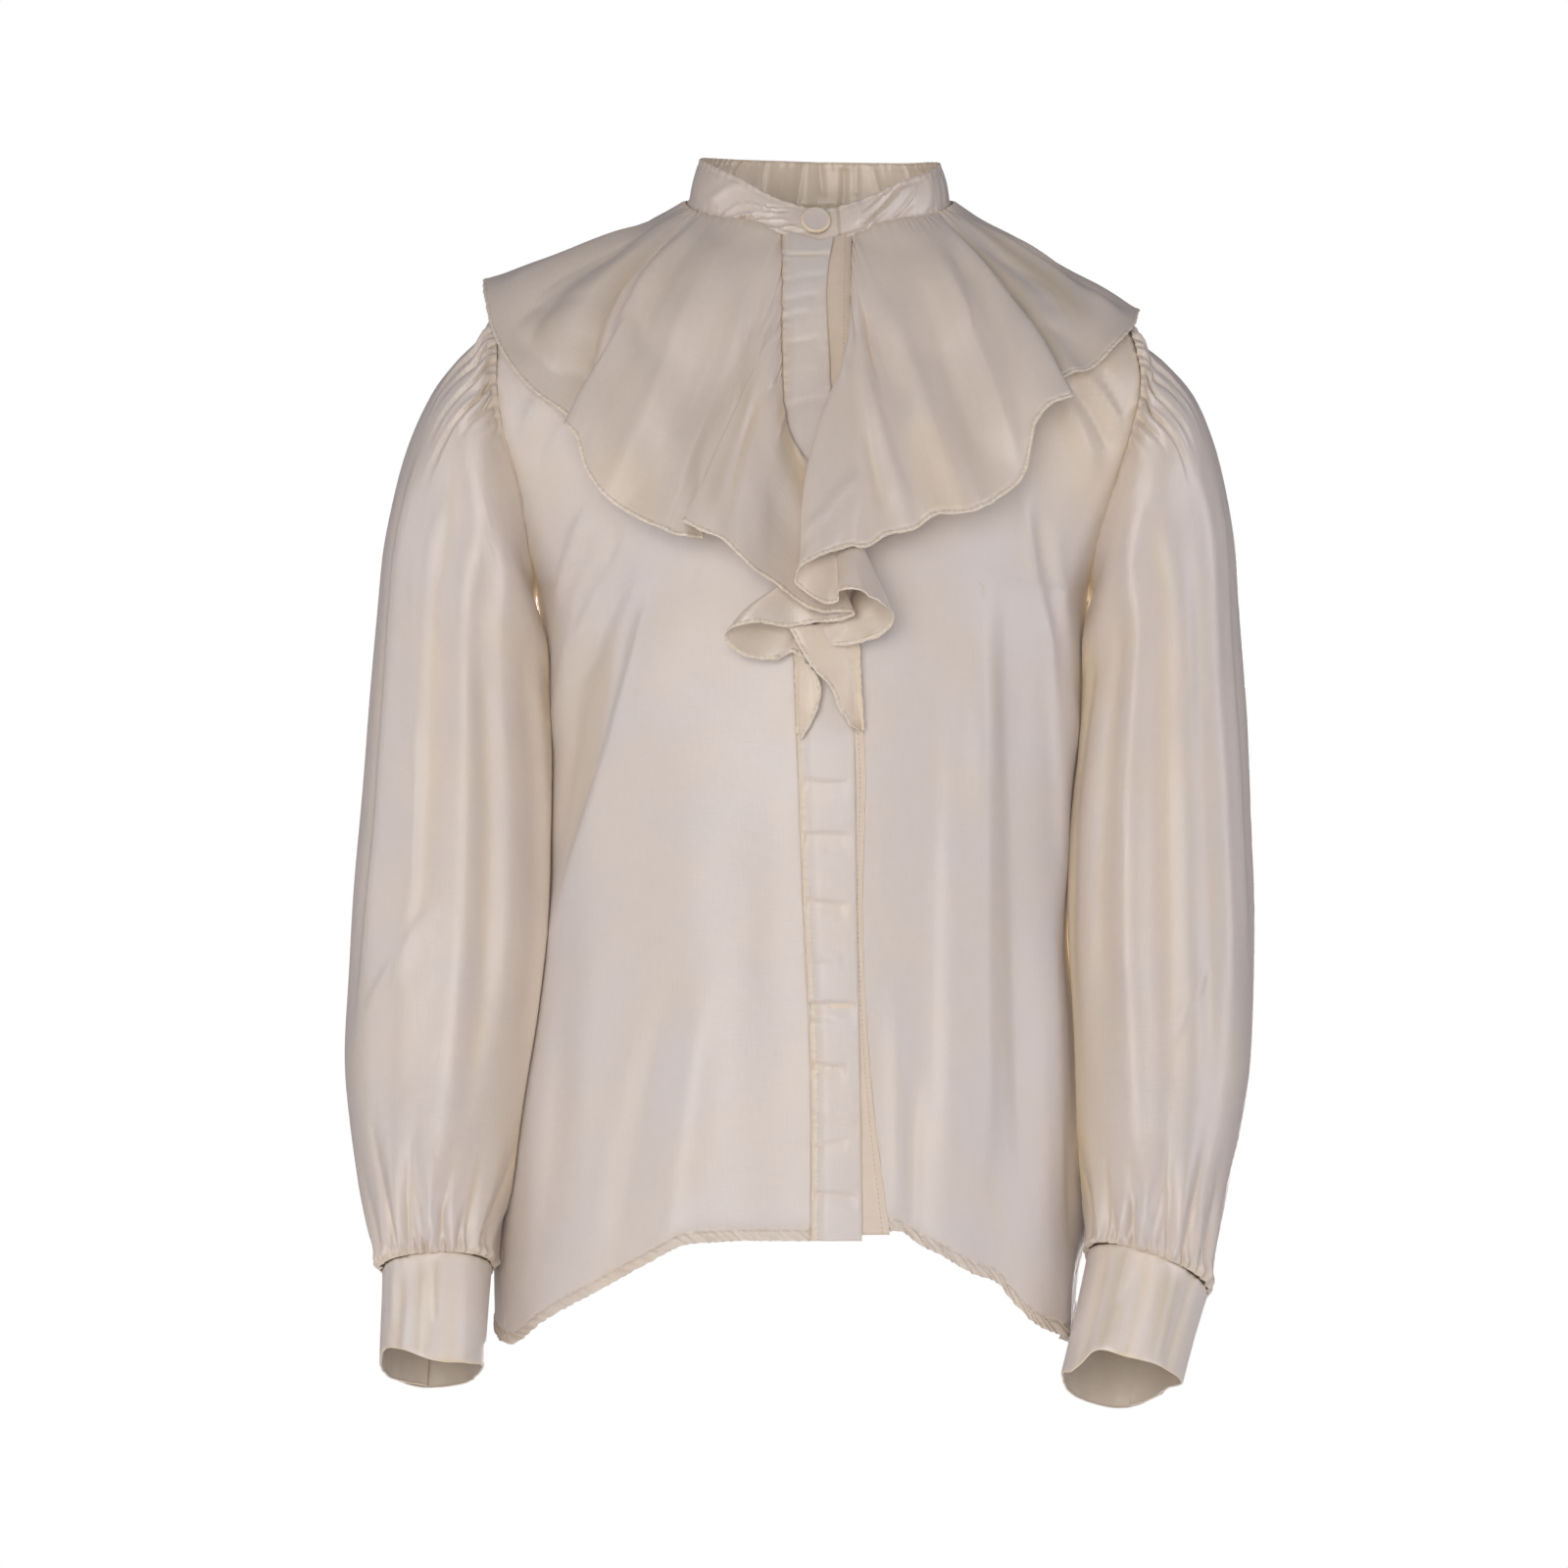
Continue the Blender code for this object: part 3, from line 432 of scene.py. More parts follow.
def silk_satin(name, face, deep, roughness=0.4):
    """Woven silk satin, undyed ivory: a cream cloth under a soft white sheen.

    The sheen hides the cream where the cloth faces the light, and folds show it; the warm attribute
    adds painted warm light, painted shade and a painted glow on top. Threads are 0.1 mm apart, too
    fine to see, so the weave is drawn at 1.25 mm, with a few long slubs across it.
    """
    made, shader = new_material(name)
    place = add_node(made, "UVMap", {}, uv_map="weave")
    warmth = add_node(made, "Attribute", {}, "Fac", attribute_name="warm")
    clouds = add_node(made, "TexNoise", {"Vector": place, "Scale": CLOUDS, "Detail": 3.0})
    share = add_node(made, "MapRange", {0: clouds, 1: 0.35, 2: 0.65, 3: 0.0, 4: 0.22})
    # The warm attribute mixes in the deep cream: painted warm light in folds, gaps and overlaps, and
    # the same cream under painted shade.
    either = add_node(made, "Math", {0: warmth}, operation="ABSOLUTE")
    deeper = add_node(made, "Math", {0: share, 1: either}, operation="ADD", use_clamp=True)
    colour = add_node(made, "Mix", {0: deeper, 6: srgb(face), 7: srgb(deep)}, 2, data_type="RGBA")
    threads = []
    for marks in ((SLUBS_ACROSS, THREADS, 1.0), (THREADS, SLUBS_DOWN, 1.0)):
        drawn = add_node(made, "Mapping", {0: place, 3: marks})
        threads.append(add_node(made, "TexNoise", {"Vector": drawn, "Scale": 1.0, "Detail": 2.0}))
    weave = add_node(made, "Math", {0: threads[0], 1: threads[1]}, operation="ADD")
    grain = add_node(made, "MapRange", {0: weave, 1: 0.7, 2: 1.3, 3: 0.98, 4: 1.012})
    # Below 0 the warm attribute darkens the colour: painted shade.
    shade = add_node(made, "MapRange", {0: warmth, 1: -1.0, 2: 0.0, 3: DARKEST_PAINTED_SHADE, 4: 1.0})
    tone = add_node(made, "Math", {0: grain, 1: shade}, operation="MULTIPLY")
    painted_and_woven = add_node(
        made, "Mix", {0: 1.0, 6: colour, 7: tone}, 2, data_type="RGBA", blend_type="MULTIPLY"
    )
    soft = add_node(made, "TexNoise", {"Vector": place, "Scale": RIPPLES, "Detail": 2.0})
    ripple = add_node(made, "Bump", {"Strength": 0.25, "Distance": 1.2 * MM, "Height": soft})
    matt = {0: weave, 1: 0.7, 2: 1.3, 3: roughness - 0.05, 4: roughness + 0.07}
    raised_threads = {"Strength": 0.28, "Distance": 0.25 * MM, "Height": weave, "Normal": ripple}
    # From 1 to 2 the warm attribute lights a painted glow, for light through the thin silk.
    glow = {0: warmth, 1: 1.0, 2: 2.0, 3: 0.0, 4: GLOW}
    feed(
        shader,
        {
            "Base Color": painted_and_woven,
            "Roughness": add_node(made, "MapRange", matt),
            "Normal": add_node(made, "Bump", raised_threads),
            "Emission Strength": add_node(made, "MapRange", glow),
            "Emission Color": srgb(GLOW_COLOUR),
            "IOR": 1.5,
            "Specular IOR Level": 0.8,
            "Sheen Weight": 0.22,
            "Sheen Roughness": 0.5,
            "Sheen Tint": srgb("#F2EEF4"),
        },
    )
    return made


def silk_thread(name, colour):
    """Twisted silk sewing thread: soft and a little darker than the cloth that it sinks into."""
    made, shader = new_material(name)
    place = add_node(made, "TexCoord", {}, "Object")
    fibres = add_node(made, "TexNoise", {"Vector": place, "Scale": FIBRES})
    tones = {0: fibres, 6: srgb(colour), 7: srgb("#E4D6C2")}
    twist = {"Strength": 0.4, "Distance": 0.2 * MM, "Height": fibres}
    feed(
        shader,
        {
            "Base Color": add_node(made, "Mix", tones, 2, data_type="RGBA"),
            "Normal": add_node(made, "Bump", twist),
            "Roughness": 0.6,
        },
    )
    return made


def stitches(name, points, where, turned, material):
    """A row of machine stitches on one line of a cloth's points, each a short bead of thread."""
    line, out = points[where], normals(points, turned, False)[where]
    along = lengths_along(line)
    at = np.arange(STITCH_PITCH / 2, along[-1], STITCH_PITCH)
    onward = spaced(line, along, at + 0.5) - spaced(line, along, at - 0.5)
    work = bmesh.new()
    for centre, ahead, lift in zip(spaced(line, along, at), onward, spaced(out, along, at)):
        ahead = Vector(ahead).normalized()
        aside = ahead.cross(Vector(lift)).normalized() * STITCH_WIDTH / 2
        lift = aside.cross(ahead)
        turn = Matrix((ahead * STITCH_LENGTH / 2, aside, lift)).transposed()
        place = Matrix.Translation(Vector(centre) * MM) @ (turn * MM).to_4x4()
        bmesh.ops.create_icosphere(work, subdivisions=1, radius=1, matrix=place)
    bmesh.ops.recalc_face_normals(work, faces=work.faces)
    for face in work.faces:
        face.smooth = True
    row = add_mesh(name, work, material)
    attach(row, "root")
    return row


def panel_cloth(points, above, edge, table, seed):
    """Rise and warmth of a panel's cloth over its folds, its sewn edges and its turned hem."""
    x, height = points[..., 0], points[..., 2]
    rise = folds(x, height, table) + PANEL_WAVE * uneven(x, height, PANEL_WAVE_SIZE, seed)
    seam = np.exp(-edge / 3.5) * rope(height, 7.5, seed)
    turned = 0.35 * ridge((above - 3) / 2.9) - 0.7 * ridge((above - HEM_DEPTH) / 0.8)
    hem = HEM_ROPE * rope(x + 1.1 * above, 4.9, seed) * smooth_step((HEM_DEPTH + 1.5 - above) / 3)
    rise = rise + 0.4 * seam + turned + hem
    rise *= 1 - FLATTER_SHARE * smooth_step((height - FLATTER_FROM) / 70)
    # Painted warm light along the sewn edges and over the turned hem.
    warm = 0.12 * np.exp(-edge / 2.5) + 0.22 * smooth_step((HEM_DEPTH + 1 - above) / 1.5)
    return rise + edge_roll(edge) + PANEL_LIFT, warm


def glow_height(height):
    """Where on the body's height the painted glow goes, for light through the cloth beside the arm,
    from 0 to 1.
    """
    below = smooth_step((GLOW_TOP - height) / GLOW_TOP_FADE)
    return below * smooth_step((height - GLOW_FOOT) / GLOW_FOOT_FADE)


def side_glow(edge_distance, height):
    """The painted glow on a panel beside the gap between the body and the arm."""
    return GLOW_WARMTH * ridge(edge_distance / GLOW_WIDTH) * glow_height(height)


def front_panel(side, hem, start_column, cream):
    """A front, from the seam of its band to the side seam, armhole and shoulder seam.

    Cream is how much painted warm light, as thrown by the ruffle, goes on the cloth below it.
    """
    share = fine_shares(PANEL_COLUMNS)
    heights = row_heights(share, hem, NECKLINE_FRONT, side_rows(PANEL_ROWS, hem[-1][1], 0))
    start = curve(FRONT_EDGES, heights)[..., start_column] * side + SEAM_GAP
    points = panel_point(share, heights, side, -1, start)
    points[-1] = outside_neck(points[-1])
    points[:, -1, 1] -= SEAM_GAP
    above = heights - curve(hem, share)[:, 0]
    width = np.linalg.norm(np.diff(points, axis=1), axis=-1).sum(1)[:, None]
    edge = np.minimum(share, 1 - share) * width
    rise, warm = panel_cloth(points, above, edge, FRONT_FOLDS, 1.3 + side)
    # Painted glow beside the arm, painted warm light under the ruffle and in troughs, painted shade
    # beside folds; the marks are real grey marks on the silk.
    warm = warm + side_glow((1 - share) * width, heights)
    warm += cream * smooth_step((heights + 200) / 60)
    warm -= folds(points[..., 0], heights, FRONT_SHADES)
    for x, height, wide, high, shade in MARKS:
        warm -= shade * ridge(np.hypot((points[..., 0] - x) / wide, (heights - height) / high))
    return raised(points, rise, turned=side < 0), warm - 0.03 * np.minimum(rise, 0)


def back_half(share, side, rows):
    """One half of the back, from the centre to the side."""
    heights = row_heights(share, HEM_BACK, NECKLINE_BACK, rows)
    return panel_point(share, heights, side, 1, 0.0)


ivory = silk_satin("ivory_silk_satin", "#D0C6BF", "#DDC8A5", roughness=0.44)
ivory_thread = silk_thread("ivory_silk_thread", "#B5A48D")
right_front, right_warm = front_panel(-1, HEM_RIGHT, 0, 0.1)
left_front, left_warm = front_panel(1, HEM_LEFT, 2, 0.4)
share = np.concatenate([-fine_shares(BACK_HALF_COLUMNS)[::-1], fine_shares(BACK_HALF_COLUMNS)[1:]])
rows = side_rows(BACK_ROWS, HEM_BACK[-1][1], 0)
halves = [back_half(-share[share < 0], -1, rows), back_half(share[share >= 0], 1, rows)]
back = np.concatenate(halves, axis=1)
back[-1] = outside_neck(back[-1])
back[:, (0, -1), 1] += SEAM_GAP
above = back[..., 2] - curve(HEM_BACK, np.abs(share))[:, 0]
edge = (1 - np.abs(share)) * BACK_HALF_GIRTH
rise, back_warm = panel_cloth(back, above, edge, BACK_FOLDS, 5.2)
# Painted glow beside the gap to each arm.
back_warm = back_warm + side_glow(edge, back[..., 2])
back = raised(back, rise, turned=True)
for name, points, warm, turned, flat, area in (
    ("front_right", right_front, right_warm, True, (0.28, 0.63), 0.142),
    ("front_left", left_front, left_warm, False, (0.28, 0.63), 0.126),
    ("back", back, back_warm, True, (0.5, 0.64), 0.29),
):
    panel = cloth_sheet(name + "_panel", points, ivory, turned=turned, warm=warm)
    row = stitches(name + "_hem_stitches", points, HEM_STITCH_ROW, turned, ivory_thread)
    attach(panel, "root")
    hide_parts(name)

# The closing: a placket on the right front laps over a button band on the left front. Both are
# double silk, pressed flat and topstitched; the buttons sit hidden behind the placket.
BAND_FOOT = -566
BAND_TOP = -26.0
BAND_OVER_SEAM = 0.4
PLACKET_RISE = 2.0
PLACKET_RAMP = 8.0
PLACKET_UNDER_SEAM = 0.9
PLACKET_LIFT = 1.6
PLACKET_WALL = 0.9
PLACKET_COLUMNS = 20
PLACKET_ROWS = 560
PLACKET_STITCH_AT = 0.13
PLACKET_SEWN = 0.36
TURNED_STRIP = 8.5
BUTTON_BAND_START = 10.0
BUTTON_BAND_SHORT = 3.0
BUTTON_BAND_UNDER_RUFFLE = 1.2
BUTTON_BAND_LIFT = 1.7
BUTTON_BAND_WALL = 0.6
BUTTON_BAND_COLUMNS = 17
BUTTON_BAND_ROWS = 230
BUTTON_BAND_STITCH_AT = 0.87
# Height of the neck seam, by the angle round the neck from the front.
NECK_HEIGHT = ((0, -27.5), (18, -20), (34, -14.7), (52, -11.5), (72, -5), (90, 0), (130, 2), (180, 3))
# Creases across the placket: height and x at its seam, the same at its free edge, bend,
# width below and above, rise.
PLACKET_CREASES = (
    (-49, -20, -46, 5, 0.6, 3, 1.6, -0.35), (-62, -22, -57, 1, 1.2, 3.5, 1.6, -0.45),
    (-70, -22, -67, -5, 0.6, 3, 1.5, -0.4), (-84, -22, -80, 1, -1, 4, 1.8, -0.5),
    (-98, -20, -95, 4, 0.5, 3, 2.5, 0.2), (-119, -17, -114, 8, 1, 4, 2, -0.35),
    (-146, -16, -140, 9, -1, 2.5, 4, 0.25), (-319, -10, -320, 16, -1.2, 6, 1.1, -1.4),
    (-349, -10, -349.5, 17, 1, 7, 1.2, -1.7), (-356, 0, -359, 21, 0.5, 3, 1.2, -0.5),
    (-383, -9, -386, 16, -0.8, 6, 1.2, -1.7), (-412, -5, -418, 12, 1.5, 4, 4, 0.5),
    (-420, -10, -417, 4, 0.5, 3, 1, -0.6), (-440, -8, -440, 21, 0.8, 7, 1.3, -2.2),
    (-446, -8, -448, 9, 0.8, 2.4, 1.2, -0.5), (-470, -6, -472.5, 15, -1.4, 6, 1.2, -1.9),
    (-497, -5, -502, 20, 0, 3, 5, 0.5), (-516, -4, -511, 16, 0, 4.5, 1.1, -0.7),
    (-541, -5, -543, 21, 1, 5, 1.3, -1.4),
)


def front_depth(x, height):
    """Depth of the front's cloth at a place near the centre."""
    levels = curve(BODY, height)
    half = np.where(x < 0, levels[..., 0], levels[..., 1])
    depth = levels[..., 2] + deep_rise(x, height, DEEP_FRONT_FOLDS)
    return -depth * np.sqrt(np.clip(1 - (x / half) ** 2, 0, 1))


def band_points(first, last, foot, across, count):
    """A band up the front. Each side of it is a column of the front edges, and how far from it."""
    heights = np.linspace(foot, BAND_TOP, count)
    edges = curve(FRONT_EDGES, heights)
    start, end = [edges[:, column, None] + off for column, off in (first, last)]
    x = start + (end - start) * across
    seam = curve(NECK_HEIGHT, np.degrees(np.arcsin(np.abs(x[-1]) / NECK_HALF_WIDTH)))[:, 0]
    share = (heights - heights[0]) / (heights[-1] - heights[0])
    height = heights[:, None] + (seam + BAND_OVER_SEAM - BAND_TOP) * share[:, None] ** 8
    return np.stack([x, front_depth(x, height), height], -1)


def nearest(shares, share):
    """The number of the column at this share of a band's width."""
    return int(np.argmin(np.abs(shares - share)))


across = fine_shares(PLACKET_COLUMNS)
across[1:4], across[-4:-1] = (0.012, 0.03, 0.055), (0.945, 0.97, 0.988)
placket = band_points((0, -PLACKET_UNDER_SEAM), (1, 0), BAND_FOOT, across, PLACKET_ROWS)
x, height = placket[..., 0], placket[..., 2]
edges = curve(FRONT_EDGES, height)
from_seam, from_edge = x - edges[..., 0], edges[..., 1] - x
strip = height - (BAND_TOP - TURNED_STRIP)
placket[..., 1] -= PLACKET_RISE * smooth_step(from_seam / PLACKET_RAMP)
rise = folds(height, x, PLACKET_CREASES, start=0.12, end=0.2) + 0.25 * uneven(x, height, 38, 3.0)
rise += 0.3 * rope(height, 6.2, 1.0) * np.exp(-np.abs(from_seam) / 2.2)
rise += 0.2 * rope(height, 9.0, 4.0) * np.exp(-from_edge / 2.0)
rise -= 0.35 * ridge((from_seam - 3.5) / 0.7) * smooth_step((-380 - height) / 60)
rise += 0.8 * smooth_step(strip / 0.8) * smooth_step((from_seam - 1) / 3)
rise += edge_roll(from_edge, 0.35, 0.7) + edge_roll(from_seam + PLACKET_UNDER_SEAM, 0.6, 1.6)
# Painted warm light along the seam and the free edge, and painted shade in a line below the turned
# strip and along the free edge.
warm = 0.6 * np.exp(-np.abs(from_seam) / 1.6) + 0.3 * np.exp(-from_edge / 1.0)
warm -= 0.05 * np.minimum(rise, 0) + 0.5 * ridge((strip + 0.7) / 0.7) + 0.5 * ridge(from_edge / 0.5)
points = raised(placket, rise + PLACKET_LIFT)
sheet = cloth_sheet("placket_band", points, ivory, wall=PLACKET_WALL, warm=warm)
sewn = np.s_[: int(PLACKET_ROWS * PLACKET_SEWN), nearest(across, PLACKET_STITCH_AT)]
row = stitches("placket_stitches", points, sewn, False, ivory_thread)
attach(sheet, "root")
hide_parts("placket")

# The button band gets a lighter, creamier copy of the satin and an even warmth: painted light where it
# lies in the shade beside the placket.
cream = silk_satin("painted_light_cream_silk_satin", "#DACABB", "#D8C3A2")
shade_thread = silk_thread("button_band_thread", "#8C7B67")
across = np.linspace(0, 1, BUTTON_BAND_COLUMNS)
first, last = (0, BUTTON_BAND_START), (2, BUTTON_BAND_UNDER_RUFFLE)
band = band_points(first, last, BAND_FOOT + BUTTON_BAND_SHORT, across, BUTTON_BAND_ROWS)
x, height = band[..., 0], band[..., 2]
from_end = curve(FRONT_EDGES, height)[..., 2] + BUTTON_BAND_UNDER_RUFFLE - x
rise = 0.35 * rope(height, 6.8, 6.0) * np.exp(-from_end / 2.4)
rise += 0.18 * uneven(x, height, 26, 4.0) + edge_roll(from_end, 0.2, 1.0)
points = raised(band, rise + BUTTON_BAND_LIFT)
sheet = cloth_sheet("button_band_strip", points, cream, wall=BUTTON_BAND_WALL, warm=0.25)
sewn = np.s_[:, nearest(across, BUTTON_BAND_STITCH_AT)]
row = stitches("button_band_stitches", points, sewn, False, shade_thread)
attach(sheet, "root")
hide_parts("button_band")

# The ruffles: two circular flounces of one layer of silk, sewn into the neck seam and down both
# edges of the closing. They lie over the shoulders as a cape and fall in front as a jabot.
RUFFLE_CORNER_ANGLE = 16.0
RUFFLE_FRONT_TOP = -24.0
RUFFLE_TAIL = -297.0
RUFFLE_NECK_LIFT = 2.6
RUFFLE_OFF_PANEL = 2.3
RUFFLE_OFF_PLACKET = 4.6
RUFFLE_CLEAR = 2.0
CORNER_FROM = 0.92
CORNER_LENGTH = 0.12
BOW_HALF_WIDTH = 170.0
BOW_DEPTH = 90.0
BOW_UP = 0.35
BOW_CREST = 0.8
# The hem, rib by rib. The seam is 0 at the centre back, 1 at the front corner and 2 at the tail.
# seam, hem x, hem depth, hem height, lift of the middle
RIGHT_RUFFLE = (
    (0, -0.6, 106, -146, 8), (0.1, -34, 118, -150, 8), (0.19, -66, 103, -142, 8),
    (0.28, -98, 104, -138, 8), (0.37, -132, 84, -114, 8), (0.46, -160, 64, -84, 8),
    (0.54, -180, 36, -54, 2), (0.6, -186, 8, -41, -2), (0.63, -184, -16, -54, -1),
    (0.655, -178, -40, -75, 4), (0.675, -167, -58, -94, 6), (0.695, -152, -72, -110, 5),
    (0.71, -138, -84, -120, 3), (0.722, -127, -87, -131, 2), (0.735, -128, -95, -131, 4),
    (0.75, -137, -104, -127, 8), (0.775, -131, -110, -134, 8), (0.81, -126, -114, -150, 8),
    (0.85, -117, -118, -165, 8), (0.9, -102, -123, -176, 8), (0.96, -86, -128, -184, 8),
    (1.05, -72, -131, -189, 6), (1.09, -63, -129, -189, 6), (1.12, -67, -134, -184, 6),
    (1.15, -73, -140, -181, 6), (1.19, -64, -144, -186, 6), (1.23, -51, -147, -192, 6),
    (1.27, -38, -147, -205, 5), (1.31, -25, -144, -214, 4), (1.35, -4, -142, -228, 4),
    (1.39, 12, -140, -229, 4), (1.42, 18, -137, -230, 4), (1.45, 13, -134, -233, 4),
    (1.49, -4, -134, -235, 4), (1.54, -20, -136, -237, 5), (1.58, -34, -139, -235, 6),
    (1.61, -44, -139, -238, 6), (1.63, -49, -134, -244, 6), (1.65, -45, -129, -250, 6),
    (1.68, -35, -126, -254, 5), (1.72, -23, -125, -254, 4), (1.79, -13, -125, -251, 2),
    (1.83, -5, -126, -260, 2), (1.87, -1, -126, -268, 2), (1.92, -2, -125, -280, 2),
    (1.96, -6, -124, -289, 1), (1.99, -11, -122, -298, 0.3),
)
LEFT_RUFFLE = (
    (0, 0.6, 106, -146, 8), (0.1, 32, 103, -148, 8), (0.19, 66, 116, -146, 8), (0.28, 100, 94, -136, 8),
    (0.37, 130, 90, -118, 8), (0.46, 156, 64, -92, 8), (0.54, 173, 36, -64, 2), (0.6, 178, 8, -56, -3),
    (0.63, 176, -14, -60, -2), (0.655, 172, -34, -69, 0), (0.675, 162, -54, -80, 3),
    (0.695, 146, -72, -95, 4), (0.71, 136, -80, -98, 3), (0.722, 125, -85, -105, 2),
    (0.735, 127, -95, -109, 4), (0.75, 135, -102, -112, 8), (0.775, 123, -110, -117, 8),
    (0.8, 114, -114, -128, 8), (0.82, 112, -116, -139, 8), (0.85, 108, -119, -156, 8),
    (0.89, 95, -123, -168, 8), (0.94, 80, -128, -176, 8), (1, 61, -133, -178, 8),
    (1.05, 48, -137, -186, 8), (1.09, 35, -141, -188, 7), (1.13, 25, -143, -195, 6),
    (1.17, 15, -146, -195, 6), (1.2, 6, -150, -198, 6), (1.23, -2, -155, -201, 6),
    (1.26, -11, -158, -207, 6), (1.29, -14, -157, -214, 6), (1.32, -11, -153, -218, 6),
    (1.36, -1, -150, -224, 6), (1.4, 8, -149, -225, 6), (1.44, 10, -152, -219, 2),
    (1.47, 18, -156, -218, 0.5), (1.51, 27, -156, -223, 0.5), (1.55, 34, -150, -228, 2),
    (1.58, 37, -140, -233, 5), (1.61, 34, -131, -240, 7), (1.65, 22, -129, -245, 6),
    (1.69, 8, -129, -247, 5), (1.73, -4, -130, -246, 4), (1.755, -12, -131, -242, 3.5),
    (1.78, -17, -131, -236, 3), (1.8, -14, -131.5, -242, 2.5), (1.83, -9, -132, -252, 2),
    (1.855, -4, -131.5, -259.5, 2), (1.88, 4, -131, -268, 2), (1.93, 11, -129, -281, 2),
    (1.96, 15, -127, -286, 1), (1.985, 21, -125, -293, 0.3),
)
# Soft folds that run from the seam out to the hem: place along the seam and share of the way
# down at the start, the same at the end, bend, width towards the back and the front, rise.
RIGHT_RUFFLE_FOLDS = (
    (0.05, 0.1, 0.06, 1.1, 0, 0.03, 0.04, 2), (0.145, 0.1, 0.14, 1.1, 0, 0.03, 0.03, -2),
    (0.235, 0.2, 0.24, 1.1, 0, 0.03, 0.03, 2), (0.33, 0.2, 0.33, 1.1, 0, 0.03, 0.04, -2),
    (0.42, 0.1, 0.43, 1.1, 0, 0.03, 0.02, 1.5), (0.54, 0.1, 0.56, 1.05, 0, 0.03, 0.03, -1.8),
    (0.615, 0.1, 0.63, 1.05, 0, 0.016, 0.024, 3), (0.66, 0.12, 0.665, 1.05, 0, 0.014, 0.014, -3.6),
    (0.695, 0.1, 0.7, 1.1, 0, 0.01, 0.008, 1.8), (0.718, 0.1, 0.722, 1, 0, 0.006, 0.005, -2.2),
    (0.735, 0, 0.742, 1.1, 0, 0.006, 0.012, 1.8), (0.79, 0, 0.8, 0.9, 0.01, 0.03, 0.022, -2.2),
    (0.885, 0.15, 0.86, 1.1, 0, 0.024, 0.032, 3.2), (0.955, 0.1, 0.93, 0.8, 0.01, 0.016, 0.03, -2.6),
    (0.985, 0.5, 0.975, 1.1, 0, 0.02, 0.02, 1.4), (1.04, 0.12, 1.02, 0.75, 0, 0.03, 0.02, -1.8),
    (1.1, 0.35, 1.115, 0.98, 0, 0.018, 0.014, 1.8), (1.2, 0.25, 1.23, 1.05, 0, 0.014, 0.012, -2.2),
    (1.09, 0, 1.05, 0.3, 0, 0.007, 0.01, -0.9), (1.18, 0, 1.13, 0.28, 0, 0.006, 0.01, 0.8),
    (1.27, 0, 1.22, 0.3, 0, 0.007, 0.009, -1), (1.34, 0, 1.28, 0.34, 0, 0.008, 0.01, 1.2),
    (1.03, 0.75, 1.12, 0.86, 0, 0.01, 0.012, 1.2),
)
LEFT_RUFFLE_FOLDS = (
    (0.05, 0.1, 0.05, 1.1, 0, 0.03, 0.04, -2), (0.145, 0.1, 0.15, 1.1, 0, 0.03, 0.03, 2),
    (0.235, 0.2, 0.24, 1.1, 0, 0.03, 0.03, -2), (0.33, 0.2, 0.33, 1.1, 0, 0.03, 0.04, 2),
    (0.42, 0.1, 0.43, 1.1, 0, 0.03, 0.02, -1.5), (0.55, 0.1, 0.58, 1.05, 0, 0.03, 0.03, 1.9),
    (0.615, 0.12, 0.625, 1.05, 0, 0.013, 0.014, -3.2), (0.65, 0.1, 0.655, 1, 0, 0.012, 0.014, 3),
    (0.57, 0.2, 0.66, 1, 0, 0.014, 0.03, 2), (0.6, 0.35, 0.7, 1.1, 0, 0.012, 0.02, -2),
    (0.685, 0.1, 0.69, 1.1, 0, 0.01, 0.012, -1.6), (0.716, 0.1, 0.72, 1, 0, 0.006, 0.005, -2.2),
    (0.735, 0, 0.742, 1.1, 0, 0.006, 0.012, 1.8), (0.785, 0.1, 0.8, 0.95, 0, 0.02, 0.022, -2.4),
    (0.845, 0.15, 0.845, 1.1, 0, 0.02, 0.026, 3), (0.92, 0.1, 0.9, 1.05, 0, 0.026, 0.03, -2.8),
    (0.975, 0.2, 0.955, 1, 0, 0.018, 0.02, 1.6), (1.04, 0.12, 1, 0.7, 0, 0.02, 0.03, -2),
    (1.085, 0.3, 1.045, 1.05, 0, 0.016, 0.02, 2.2), (1.11, 0.5, 1.09, 1, 0, 0.012, 0.014, -1.6),
    (1.05, 0.1, 1.045, 0.5, 0, 0.009, 0.016, -2.2), (1.12, 0, 1.1, 0.25, 0, 0.006, 0.008, -1),
    (1.2, 0, 1.16, 0.3, 0, 0.006, 0.01, 0.9), (1.14, 0.7, 1.25, 0.88, 0.01, 0.02, 0.03, 1.2),
)
# Painted light on a ruffle, where light through the cloth behind warms it: rows as for the folds, then
# the share. Below nothing, it is painted shade where a fold is in shade.
RIGHT_RUFFLE_PAINTED_LIGHT = (
    (1.26, -0.1, 1.5, 0.9, 0, 0.05, 0.06, 1), (1.44, 0.05, 1.5, 0.7, 0, 0.02, 0.05, 0.8),
    (0.86, 0.8, 0.9, 1.3, 0, 0.05, 0.05, 0.4), (0.665, 0.05, 0.675, 1, 0, 0.012, 0.014, -0.55),
    (0.714, 0, 0.721, 1.1, 0, 0.014, 0.003, -0.5), (0.79, 0, 0.8, 0.9, 0.01, 0.025, 0.018, -0.25),
    (0.955, 0.1, 0.93, 0.8, 0.01, 0.016, 0.025, -0.35), (1.04, 0.12, 1.02, 0.75, 0, 0.025, 0.02, -0.25),
    (1.17, 0.15, 1.195, 1, 0, 0.025, 0.014, -0.4), (1.65, -0.6, 1.66, 1.8, 0, 0.035, 0.035, -0.6),
    (1.9, -0.6, 1.9, 1.8, 0, 0.12, 0.12, 0.5),
)
